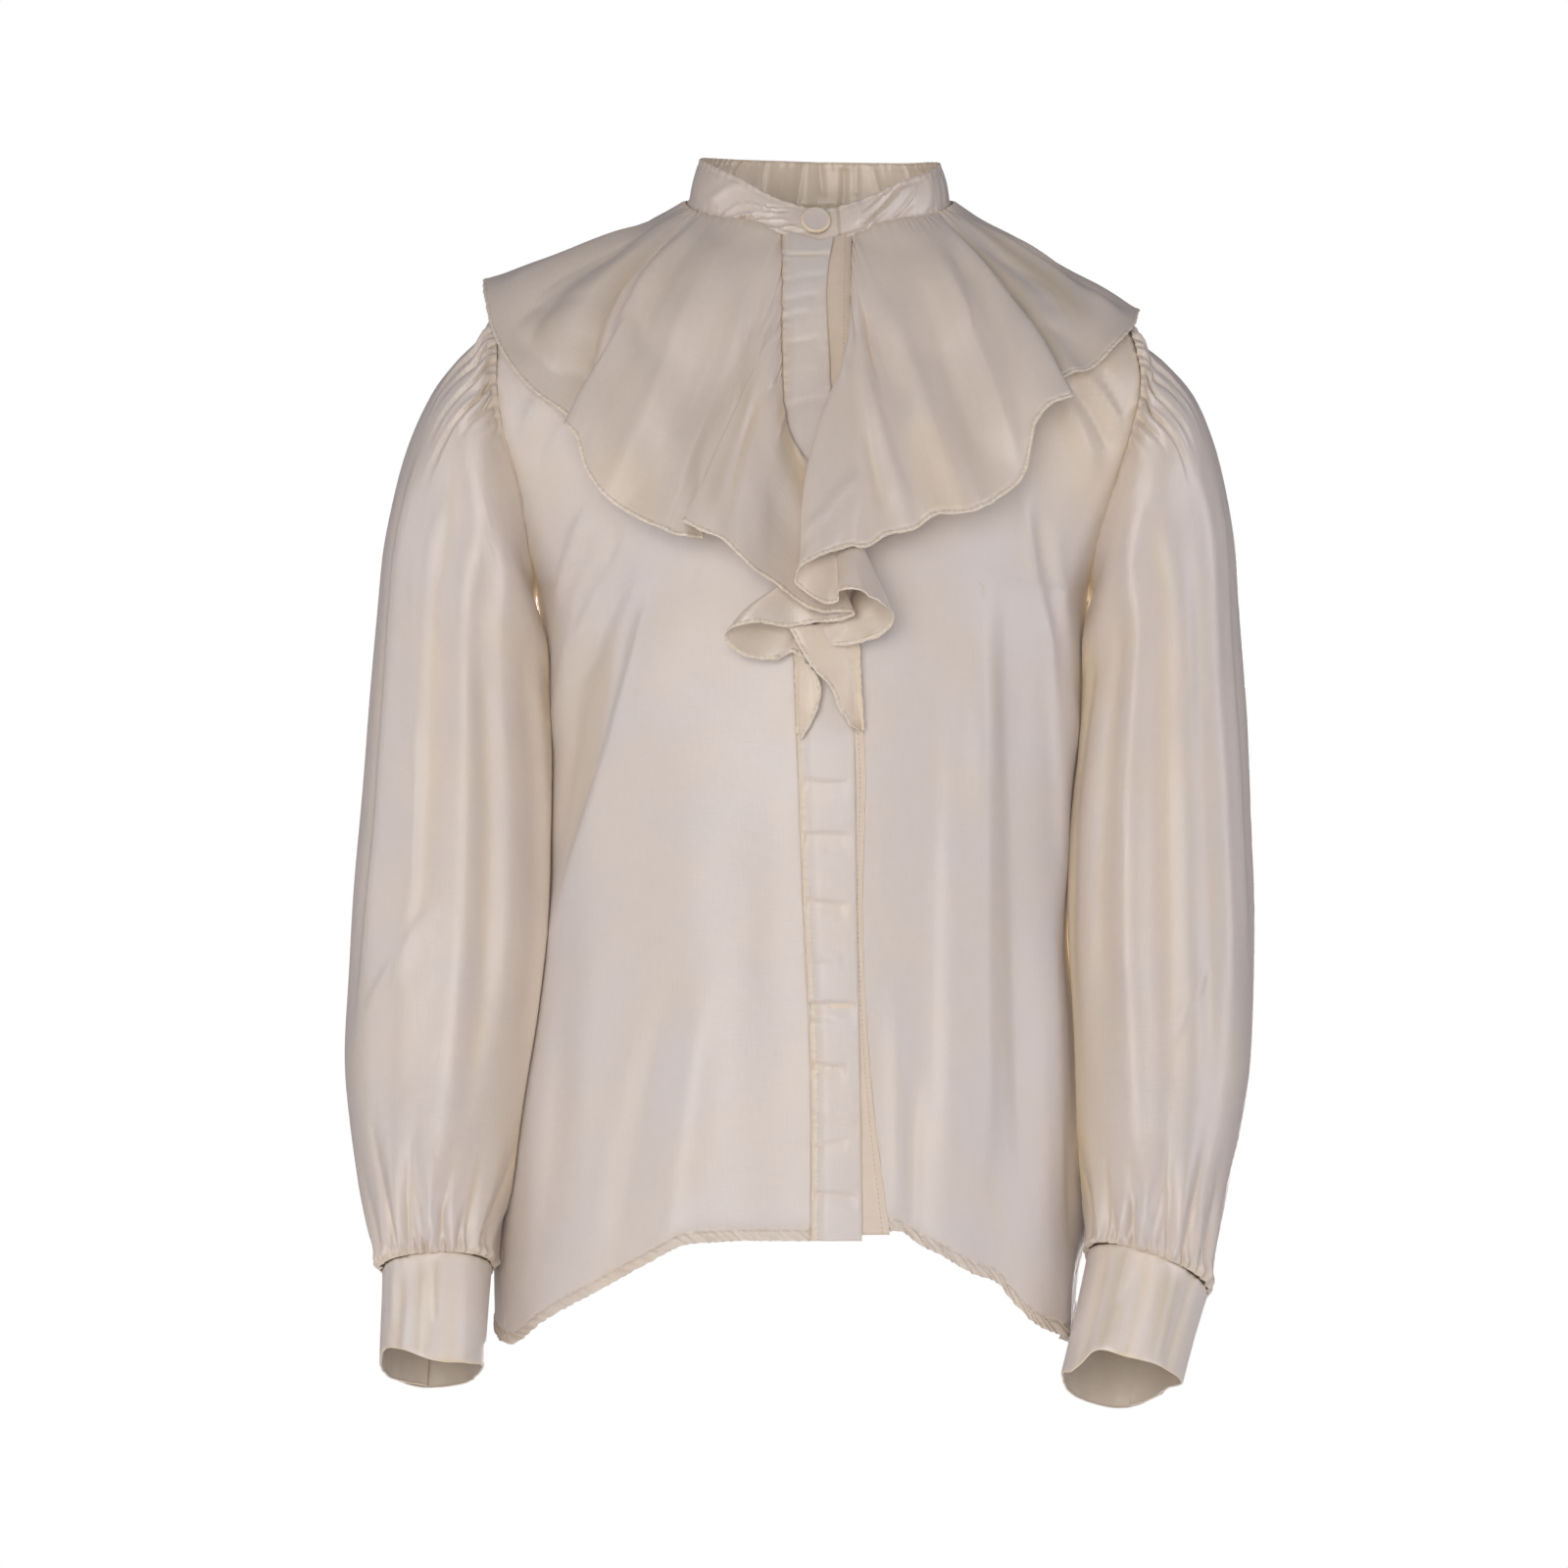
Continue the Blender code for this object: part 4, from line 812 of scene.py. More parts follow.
LEFT_RUFFLE_PAINTED_LIGHT = (
    (1.3, 0.5, 1.34, 1.3, 0, 0.05, 0.05, 0.7), (0.98, 0.6, 0.99, 1.3, 0, 0.04, 0.03, 0.5),
    (0.615, 0.05, 0.625, 1.05, 0, 0.012, 0.014, -0.5), (0.67, 0.05, 0.68, 1, 0, 0.012, 0.01, -0.55),
    (0.712, 0, 0.719, 1.1, 0, 0.014, 0.003, -0.5), (0.785, 0.1, 0.8, 0.95, 0, 0.016, 0.018, -0.3),
    (0.92, 0.1, 0.9, 1.05, 0, 0.02, 0.025, -0.35), (1.04, 0.12, 1, 0.7, 0, 0.02, 0.025, -0.25),
    (1.65, -0.6, 1.66, 1.8, 0, 0.06, 0.035, -0.75), (1.9, -0.6, 1.9, 1.8, 0, 0.12, 0.12, 0.5),
)
# Where a ruffle falls over the placket: rows as for the folds, then the shift to the side.
RIGHT_RUFFLE_LAP = ((1.45, -0.05, 1.5, 0.9, 0, 0.07, 0.2, 18),)
LEFT_RUFFLE_LAP = ((1.28, 0, 1.28, 1, 0, 0.1, 0.16, -8),)
RUFFLE_COLUMNS = 420
RUFFLE_TOP_ROWS = (0, 0.004, 0.012, 0.025)
RUFFLE_GIRTH = 380
HEM_BEAD = 0.92
HEM_BEAD_STEP = 0.9
HEM_TICK = 3.2


def outside_body(points, clearance, amount=1.0):
    """Moves points that are too near the body outwards, level by level."""
    x, y, height = np.moveaxis(points, -1, 0)
    front = y < 0
    sides = [[section(height, side, face)[:2] for face in (-1, 1)] for side in (-1, 1)]
    half, depth = np.where(x < 0, np.where(front, *sides[0]), np.where(front, *sides[1]))
    tables = [deep_rise(x, height, table) for table in (DEEP_FRONT_FOLDS, DEEP_BACK_FOLDS)]
    depth = depth + np.where(front, *tables)
    reach = np.hypot(x / (half + clearance), y / (depth + clearance))
    scale = 1 + (np.maximum(1 / np.maximum(reach, 0.05), 1) - 1) * amount
    moved = points.copy()
    moved[..., :2] *= scale[..., None]
    return moved


def neck_point(angle, out=0.0, up=0.0):
    """A point of the neck seam, by the angle from the front in degrees, negative on the right."""
    turn = np.radians(angle)
    depth = np.where(np.abs(angle) < 90, NECK_FRONT, NECK_BACK)
    x = (NECK_HALF_WIDTH + out) * np.sin(turn)
    y = -(depth + out) * np.cos(turn)
    return np.stack([x, y, curve(NECK_HEIGHT, np.abs(angle))[..., 0] + up], -1)


def ruffle_seam(key, side):
    """Points of a ruffle's seam: round the neck to the front corner, then down the band's edge."""
    angle = 180 - np.clip(key, 0, 1) * (180 - RUFFLE_CORNER_ANGLE)
    neck = neck_point(side * angle, SEAM_GAP, RUFFLE_NECK_LIFT)
    height = RUFFLE_FRONT_TOP + (RUFFLE_TAIL - RUFFLE_FRONT_TOP) * np.clip(key - 1, 0, 1)
    edge = curve(FRONT_EDGES, height)[..., 0 if side < 0 else 2] + side * 2 * SEAM_GAP
    front = np.stack([edge, front_depth(edge, height) - RUFFLE_OFF_PANEL, height], -1)
    share = smooth_step((key - CORNER_FROM) / CORNER_LENGTH)[:, None]
    return neck + (front - neck) * share


def even_keys(table, count):
    """Places along the seam whose points on the hem are about evenly apart."""
    fine = np.linspace(table[0][0], table[-1][0], 4000)
    steps = lengths_along(curve(table, fine)[:, :3], extra=0.04)
    return np.interp(np.linspace(0, steps[-1], count), steps, fine)


def ruffle_points(table, side, wrinkles, tint, lap, seed):
    """A ruffle's outer face. Each rib bows away from the body between its seam and its hem."""
    key = even_keys(table, RUFFLE_COLUMNS)
    rows = curve(table, key)
    seam, hem = ruffle_seam(key, side), rows[:, :3]
    middle = (seam + hem) / 2
    round_neck = key < 1
    aside = middle[:, 0] / BOW_HALF_WIDTH * round_neck
    away = unit(np.stack([aside, middle[:, 1] / BOW_DEPTH, BOW_UP * round_neck], -1))
    down = np.concatenate([RUFFLE_TOP_ROWS, np.linspace(0.045, 1, 40)])[:, None]
    points = seam + (hem - seam) * down[..., None]
    points[..., 0] += folds(key, down, lap, end=0.5)
    edges = curve(FRONT_EDGES, points[..., 2])
    past_seam = (points[..., 0] - edges[..., 0]) / PLACKET_RAMP
    before_end = (edges[..., 2] - points[..., 0]) / PLACKET_RAMP + 1
    front = (points[..., 1] < 0) & (points[..., 2] < BAND_TOP)
    over = smooth_step(past_seam) * smooth_step(before_end) * front
    clearance = RUFFLE_OFF_PANEL + (RUFFLE_OFF_PLACKET - RUFFLE_OFF_PANEL) * over
    bow = rows[:, 3] * np.sin(math.pi * down**BOW_CREST)
    points = outside_body(points, clearance) + away * bow[..., None]
    fall = down * np.linalg.norm(hem - seam, axis=-1)
    along = key * RUFFLE_GIRTH
    waves = 1.5 * uneven(along, fall, 85, seed) + 0.8 * uneven(along, fall, 38, seed + 1)
    puckers = rope(key * 340, 6.5, seed) * np.exp(-fall / 5.5)
    flutter = rope(key * 420, 21, seed) * smooth_step((down - 0.9) / 0.1) * smooth_step(key / 0.03)
    sewn = smooth_step((key - 0.96) / 0.04) * smooth_step((1.5 - key) / 0.2)
    rise = 1.25 * folds(key, down, wrinkles) + edge_roll(fall, 0.5, 2.0)
    rise += waves * smooth_step(down / 0.2) * smooth_step(key / 0.06)
    rise += (0.4 + 0.2 * sewn) * puckers + 0.45 * flutter
    points = raised(points, rise, turned=side < 0)
    points[0, 0, 0] = side * SEAM_GAP
    # Painted warm light beside the seam, in troughs and where the table of painted light says; painted
    # shade in the troughs of the puckers along the sewn edge.
    warm = 0.5 * np.exp(-fall / 3) - 0.08 * np.minimum(rise, 0)
    warm = warm + folds(key, down, tint) + 1.7 * np.minimum(puckers, 0) * sewn
    return outside_body(points, RUFFLE_CLEAR), warm


def rolled_hem(name, path, facing, material, seed):
    """A narrow rolled hem: a bead of cloth along an edge, bound over by its stitches."""
    along = lengths_along(path)
    at = np.linspace(0, along[-1], int(along[-1] / HEM_BEAD_STEP))
    line, out = spaced(path, along, at), spaced(facing, along, at)
    ahead = unit(np.gradient(line, axis=0))
    aside = unit(np.cross(ahead, out))
    out = np.cross(aside, ahead)
    turn = np.linspace(0, 2 * math.pi, 9)[:, None]
    ticks = rope(at, HEM_TICK, seed)
    size = HEM_BEAD * (1 + 0.2 * ticks + 0.14 * rope(at, 11, seed + 1))
    size *= np.sqrt(np.clip(np.minimum(at, at[::-1]) / 2, 0, 1))
    ring = 0.6 * out[:, None, :] * np.cos(turn) + 1.3 * aside[:, None, :] * np.sin(turn)
    points = line[:, None, :] + ring * size[:, None, None]
    return cloth_sheet(name, points, material, 0, closed=True, warm=0.4 + 0.3 * ticks[:, None])


greige = silk_satin("greige_silk_satin", "#D1C4B8", "#DDCAAF", roughness=0.37)
# The rolled hem's silk is a lighter copy of the satin: painted light on the bead, which lies in its own
# shade.
hem_silk = silk_satin("rolled_hem_silk", "#E0D4C6", "#CBBBA2", roughness=0.5)
right = (RIGHT_RUFFLE, -1, RIGHT_RUFFLE_FOLDS, RIGHT_RUFFLE_PAINTED_LIGHT, RIGHT_RUFFLE_LAP, 0.7)
left = (LEFT_RUFFLE, 1, LEFT_RUFFLE_FOLDS, LEFT_RUFFLE_PAINTED_LIGHT, LEFT_RUFFLE_LAP, 2.9)
for name, ruffle in (("ruffle_right", right), ("ruffle_left", left)):
    side, seed = ruffle[1], ruffle[-1]
    points, warm = ruffle_points(*ruffle)
    flounce = cloth_sheet(name + "_flounce", points, greige, turned=side < 0, warm=warm)
    edge = normals(points, side < 0, False)[-1]
    bead = rolled_hem(name + "_hem", points[-1] - edge * CLOTH / 2, edge, hem_silk, seed)
    for piece in (flounce, bead):
        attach(piece, "root")
    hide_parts(name)

# The stand collar: one narrow band of double silk, lightly lined, sewn to the neck seam. Its right
# end laps over its left end and buttons there.
COLLAR_HEIGHT = 30
COLLAR_START = 17.0
COLLAR_TURN = 385.0
COLLAR_COLUMNS = 400
COLLAR_END_SHARES = (0.0006, 0.0015, 0.9985, 0.9994)
COLLAR_FOOT_DROP = 1.5
COLLAR_INSET = 1.2
COLLAR_BULGE = 1.5
COLLAR_LIFT = 1.2
COLLAR_WALL = 1.0
# Painted light on the inner face of the collar: lighter and warmer.
COLLAR_INSIDE_PAINTED_LIGHT = 0.6
COLLAR_LAP_SHARE = 0.125
LAP_STEP = 2.0
LAP_EDGE = 8.8
LAP_SHADE = 0.9
BAND_CLOTH = 1.4
COLLAR_STITCH_ROW = 21
COLLAR_STITCH_DOWN = 3.2
# The top edge: angle round the neck, x, depth, height.
COLLAR_TOP = (
    (-180, 0, 50, 30), (-135, -44, 38, 30), (-90, -65, 2, 26), (-60, -56, -26, 18), (-45, -46, -37, 12),
    (-20, -22, -46, -1.5), (0, 0, -48, -7.5), (20, 22, -47, -2), (45, 47, -37, 10), (60, 58, -26, 15),
    (90, 66, 2, 23.5), (135, 46, 38, 28), (180, 0, 50, 30),
)
# Wrinkles of the band: angle and share of its height at the start, the same at the end, bend,
# width before and after, rise.
COLLAR_WRINKLES = (
    (118, 0, 120, 0.9, 0, 1.6, 2.4, 0.6), (133, 0.2, 131, 1.05, 0, 1.5, 2, 0.7),
    (150, 0.1, 153, 1.05, 0, 1.4, 2.6, 0.6), (162, 0.3, 161, 1.05, 0, 1.2, 1.6, 0.4),
    (169, 0, 167, 0.95, 0, 1.6, 1.8, 0.8), (178, 0.3, 180, 1.05, 0, 1.8, 1.4, 0.5),
    (190, 0, 188, 1.05, 0, 1.5, 2.2, 0.8), (207, 0.1, 209, 1.05, 0, 1.4, 1.6, 0.7),
    (226, 0, 224, 1, 0, 1.8, 1.8, 0.6), (241, 0.2, 239, 1, 0, 1.8, 1.8, 0.5),
    (-12, 0.1, -2, 0.6, 0, 2, 2.5, 0.5), (300, 0.3, 320, 0.95, 0, 4, 5, 0.5),
    (318, 0.1, 341, 0.62, 0.5, 2.5, 1.6, 0.8), (316, 0.05, 338, 0.42, 0.5, 1.4, 1.8, -0.8),
    (328, 0.3, 345, 0.78, 0, 1.6, 1.8, -0.7), (336, 0, 350, 0.4, 0.4, 1.6, 1.4, 0.7),
    (345, 0, 352, 0.3, 0, 1, 1.4, -0.7), (322, 0.5, 343, 0.72, 0.6, 1, 1.2, 0.5),
    (325, 0.12, 346, 0.5, 0.4, 0.9, 1.1, 0.6), (333, 0.62, 347, 0.9, 0, 1, 1.3, -0.5),
    (309, 0, 322, 0.5, 0, 1.2, 1.8, 0.4), (18, 0.1, 44, 0.9, 0, 1.6, 4, 0.9),
    (19, 0.25, 42, 1, 0, 1.4, 1.3, -1.1), (20, 0.5, 34, 0.95, 0, 1.5, 1.5, 0.6),
    (30, 0, 46, 0.5, 0, 1.5, 2, -0.6), (18, 0, 30, 0.55, 0.3, 0.9, 1.2, 0.7),
    (22, 0.7, 38, 1.02, 0, 1, 1.2, -0.6), (34, 0.2, 52, 0.85, 0, 1.2, 1.4, 0.5),
    (17.5, 0.3, 19, 1, 0, 0.8, 1.4, 0.8), (55, 0.2, 62, 1, 0, 4, 4, 0.5),
    (70, 0.1, 74, 0.8, 0, 3, 2, -0.4),
)


def around(angle):
    """An angle as the same one between -180 and 180."""
    return (angle + 180) % 360 - 180


turn = np.sort(np.concatenate([np.linspace(0, 1, COLLAR_COLUMNS), COLLAR_END_SHARES]))
angle = -COLLAR_START + COLLAR_TURN * turn
inner = LAP_STEP * (1 - smooth_step(turn / COLLAR_LAP_SHARE))
foot = neck_point(around(angle), -inner - BAND_CLOTH - COLLAR_INSET, -COLLAR_FOOT_DROP)
top = curve(COLLAR_TOP, around(angle))
top[:, :2] *= (1 - inner / NECK_HALF_WIDTH)[:, None]
up = np.concatenate([(0, 0.02, 0.05), np.linspace(0.09, 0.93, 20), (0.965, 0.985, 1)])[:, None]
points = foot + (top - foot) * up[..., None]
points[..., :2] *= (1 + COLLAR_BULGE * np.sin(math.pi * up) / NECK_HALF_WIDTH)[..., None]
from_foot, from_top = COLLAR_HEIGHT * up, COLLAR_HEIGHT * (1 - up)
rise = 1.7 * folds(angle, up, COLLAR_WRINKLES, start=0.15, end=0.15)
rise += 0.25 * uneven(angle, from_foot, 24, 1.7)
rise += 0.7 * rope(angle * 1.1, 5.2, 2.2) * np.exp(-from_foot / 3.5)
rise += 0.45 * rope(angle * 1.1, 6.1, 5.0) * np.exp(-from_top / 3.0)
rise -= 0.3 * ridge((from_top - COLLAR_STITCH_DOWN) / 0.7)
rise += 1.3 * (1 - smooth_step((from_foot - COLLAR_STITCH_DOWN) / 2)) + edge_roll(from_top, 0.4, 0.9)
# Painted warm light at the foot and in troughs, and a painted shadow line beside the edge of the lap.
warm = 0.5 * np.exp(-from_foot / 2.0) - 0.25 * np.minimum(rise, 0)
warm = warm - LAP_SHADE * ridge((angle - LAP_EDGE) / 0.7)
points = raised(points, rise + COLLAR_LIFT)
band = cloth_sheet(
    "collar_band_stand", points, greige, COLLAR_WALL, warm=warm, within=COLLAR_INSIDE_PAINTED_LIGHT
)
row = stitches("collar_stitches", points, COLLAR_STITCH_ROW, False, ivory_thread)
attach(band, "root")
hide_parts("collar_band")

# The sleeves: full, in one piece, gathered into the armhole over the cap and into the cuff at the
# wrist. Long soft folds run between the two rows of gathers.
ARMHOLE_BLEND_RINGS = 4.0
ARMHOLE_STEP = 3.2
SLEEVE_OFF_BODY = 2.2
UNDERARM_BLEND = 12.0
CREASE = 0.45
SLEEVE_SQUARE = 0.77
SLEEVE_ROWS = 96
SLEEVE_COLUMNS = 301
# Where the painted glow goes round the sleeve: angle and half width.
SLEEVE_GLOW_AT = 178
SLEEVE_GLOW_WIDTH = 26
SLEEVE_EDGE_STEPS = (
    0, 0.4, 1, 1.9, 3, 4.6, 6.4, 8.4, 10.6, 13, 15.4, 18, 20.6, 23.4, 26.2, 29.2, 32.4, 35.8, 39.4,
    43.2,
)
# Rings from the cap to the wrist: x and height of the outer edge, the same of the inner edge,
# depth of the middle, half depth, how far the front of the ring is raised.
RIGHT_SLEEVE = (
    (-172, -60, -156, -215, 0, 50, 0), (-186, -75, -158, -221, 0, 56, 0),
    (-201, -88, -155, -229, 1, 60, 0), (-215, -106, -150, -240, 2, 62, 0),
    (-229, -138, -145, -256, 4, 62, 0), (-239, -180, -146, -274, 4, 61, 0),
    (-245, -230, -143, -300, 7, 59, 0), (-251.5, -310, -140, -350, 10, 57, 0),
    (-259, -400, -141, -418, 10.5, 56, 0.5), (-263, -466, -148, -476, 3, 56, 2),
    (-259.5, -508, -158, -515, -8, 54, 5), (-253, -541, -168, -547, -20, 50, 8),
    (-245, -569, -177, -570, -31, 44, 11), (-239.3, -588.9, -181.3, -586, -38, 36.1, 12),
)
LEFT_SLEEVE = (
    (168, -60, 148, -215, 0, 50, 0), (178, -76, 151, -221, 0, 56, 0), (194, -89, 148, -229, 1, 60, 0),
    (209, -107, 144, -240, 2, 62, 0), (220, -137, 140, -254, 4, 62, 0),
    (228, -177, 142, -272, 4, 61, 0), (232, -226, 138, -298, 6, 59, 0),
    (237.5, -308, 132, -346, 8.5, 57, 0), (240.5, -392, 130, -412, 5, 56, 0.5),
    (238, -465, 134, -474, -6, 56, 3), (232, -510, 138, -515, -18, 53, 6),
    (224, -545, 143, -543, -30, 48, 10), (217, -575, 146, -565, -41, 41, 13),
    (211.2, -600.9, 148, -577.9, -47, 32.1, 14),
)
# Long folds: angle round the sleeve and height at the top, the same at the foot, bend, width on
# either side, rise. The angle is 0 at the outer edge, 90 in front, 180 under the arm.
RIGHT_SLEEVE_FOLDS = (
    (35, -128, 32, -480, 2, 4, 11, 3), (28, -140, 25, -470, 3, 5, 3, -2.2),
    (56, -150, 62, -540, 4, 9, 8, 1.4), (69, -140, 66, -470, 3, 7, 8, -2.4),
    (86, -160, 93, -560, 3, 9, 8, 3.2), (100, -240, 107, -540, 2, 6, 7, -2),
    (109, -180, 120, -500, 4, 7, 12, 2.4), (130, -230, 135, -520, 0, 8, 8, -1.4),
    (142, -250, 144, -520, 0, 5, 6, 1.8), (10, -160, 12, -500, 0, 8, 8, 1.8),
    (-12, -150, -10, -500, 0, 10, 10, -2.4), (-38, -150, -42, -520, 3, 9, 12, 2.6),
    (-66, -180, -60, -540, 0, 9, 9, -2.4), (-92, -160, -88, -560, -3, 10, 12, 2.4),
    (-120, -200, -112, -540, 0, 10, 9, -2.2), (-146, -260, -140, -520, 0, 9, 9, 1.8),
    (152, -270, 150, -500, 0, 9, 9, 1.4), (76, -388, 36, -452, 0, 2.5, 8, 1.6),
    (60, -280, 66, -400, 0, 2.5, 3, 1),
)
LEFT_SLEEVE_FOLDS = (
    (31, -150, 26, -440, 3, 4, 9, 1.8), (25, -160, 20, -430, 2, 5, 3, -1.8),
    (47, -130, 41, -500, 4, 8, 8, 2.6), (61, -170, 56, -540, 2, 6, 8, -1.8),
    (72, -200, 69, -560, 0, 8, 9, 1.6), (87, -150, 86, -560, -3, 8, 7, -2.8),
    (103, -170, 106, -560, 4, 7, 9, 3.6), (119, -210, 122, -480, 0, 6, 8, -2.2),
    (132, -260, 136, -500, 0, 7, 8, 1.6), (143, -240, 146, -480, 0, 4, 5, -1.6),
    (8, -160, 10, -520, 0, 8, 9, 1.8), (-14, -150, -10, -500, 0, 10, 10, -2.2),
    (-40, -150, -36, -530, 3, 10, 12, 2.6), (-68, -180, -62, -540, 0, 9, 9, -2.4),
    (-94, -170, -90, -560, -3, 10, 12, 2.2), (-124, -210, -116, -540, 0, 10, 9, -2),
    (-150, -260, -142, -520, 0, 9, 9, 1.8), (60, -420, 88, -470, 0, 3, 8, 1.4),
)
# Gathers: angle at the seam, turn of its far end, length, half width at the seam, rise.
CAP_GATHERS = (
    (-97, -6, 16, 2.6, 1.7), (-86, -5, 30, 2.2, 2.2), (-77, -7, 18, 2, 1.8), (-68, -4, 44, 2.4, 2.6),
    (-60, -6, 20, 1.8, 2), (-51, -3, 54, 2.4, 2.8), (-42, -5, 18, 1.8, 1.8), (-34, -3, 36, 2.2, 2.4),
    (-25, -2, 16, 1.8, 1.8), (-17, 0, 50, 2.4, 2.8), (-8, -2, 20, 1.8, 2), (0, 0, 40, 2.2, 2.4),
    (8, -3, 16, 1.8, 1.7), (15, -3, 30, 2, 2.2), (22, -5, 18, 1.6, 1.9), (28, -4, 44, 1.9, 2.7),
    (31.5, -7, 58, 1, -1.5), (35.5, -5, 15, 1.2, 1.9), (39, -9, 28, 1.4, 2.5), (42, -11, 46, 0.9, -1.7),
    (45.5, -6, 16, 1.1, 1.9), (49, -12, 36, 1.5, 2.7), (52, -14, 60, 0.9, -1.8), (55.5, -7, 15, 1.1, 2),
    (58.5, -14, 26, 1.3, 2.4), (62, -17, 74, 1, -2), (65, -9, 44, 1.3, 2.6), (68.5, -8, 14, 1.1, 1.8),
    (72, -14, 34, 0.9, -1.6), (75.5, -12, 24, 1.2, 2), (80, -8, 20, 1.7, 1.6), (88, -5, 12, 1.8, 1),
)
CUFF_GATHERS = (
    (4, 2, 24, 3.6, 2), (16, -3, 62, 4.2, 3), (27, 1, 12, 2.6, 1.7), (37, 4, 38, 3.4, 2.7),
    (48, -2, 13, 2.4, 1.8), (59, 3, 86, 4.4, 3.6), (70, -2, 15, 2.6, 2), (79, 5, 28, 2.8, 2.3),
    (91, -4, 66, 4.2, 3.5), (102, 2, 12, 2.4, 1.7), (111, -4, 42, 3.4, 2.8), (122, 2, 17, 2.6, 2),
    (134, 3, 92, 4.6, 3.4), (147, -2, 13, 2.6, 1.8), (158, 3, 32, 3.4, 2.5), (171, -2, 19, 3.2, 2),
    (185, 1, 54, 3.8, 2.8), (198, -2, 15, 2.8, 1.9), (212, 3, 74, 4.4, 3.2), (226, -1, 20, 3, 2),
    (240, 2, 46, 3.8, 2.8), (254, -3, 14, 2.8, 1.8), (268, 2, 82, 4.4, 3.3), (282, -1, 18, 3, 2),
    (296, 3, 40, 3.6, 2.6), (310, -2, 14, 2.8, 1.8), (324, 1, 68, 4.2, 3.1), (340, -2, 22, 3.2, 2),
)


def joined(wave, angle):
    """A wave round a tube, blended near the end of the turn so that it meets its own start."""
    share = smooth_step((angle - 320) / 40)
    return wave(angle) * (1 - share) + wave(angle - 360) * share


def round_folds(angle, height, table):
    """Folds down a tube, whose angle joins up behind."""
    rise = np.zeros(np.broadcast(angle, height).shape)
    for row in table:
        middle = (row[0] + row[2]) / 2
        rise += folds(middle + around(angle - middle), height, (row,), start=0.12)
    return rise


def gathers(angle, away, table, longer=1.0, turned_by=0.0):
    """Gathers that fan out from a seam and die away along their own lengths."""
    rise = np.zeros(np.broadcast(angle, away).shape)
    for start, turn, length, width, lift in table:
        share = np.clip(away / (length * longer), 0, 1)
        off = around(angle - start - turned_by - turn * share) / (width * (1 + 1.4 * share))
        crest = ridge(off) - CREASE * ridge((np.abs(off) - 1.7) / 0.5)
        rise += lift * (1 - smooth_step(share)) * crest
    return rise * (0.35 + 0.65 * smooth_step(away / 5))


def tube_points(rows, out, forward):
    """Points round a sleeve or a cuff, by how far each is towards the outer edge and the front."""
    outer, inner = rows[:, None, :2], rows[:, None, 2:4]
    flat = (outer + inner) / 2 + (outer - inner) / 2 * out[..., None]
    depth = rows[:, 4, None] - rows[:, 5, None] * forward
    return np.stack([flat[..., 0], depth, flat[..., 1] + rows[:, 6, None] * forward], -1)


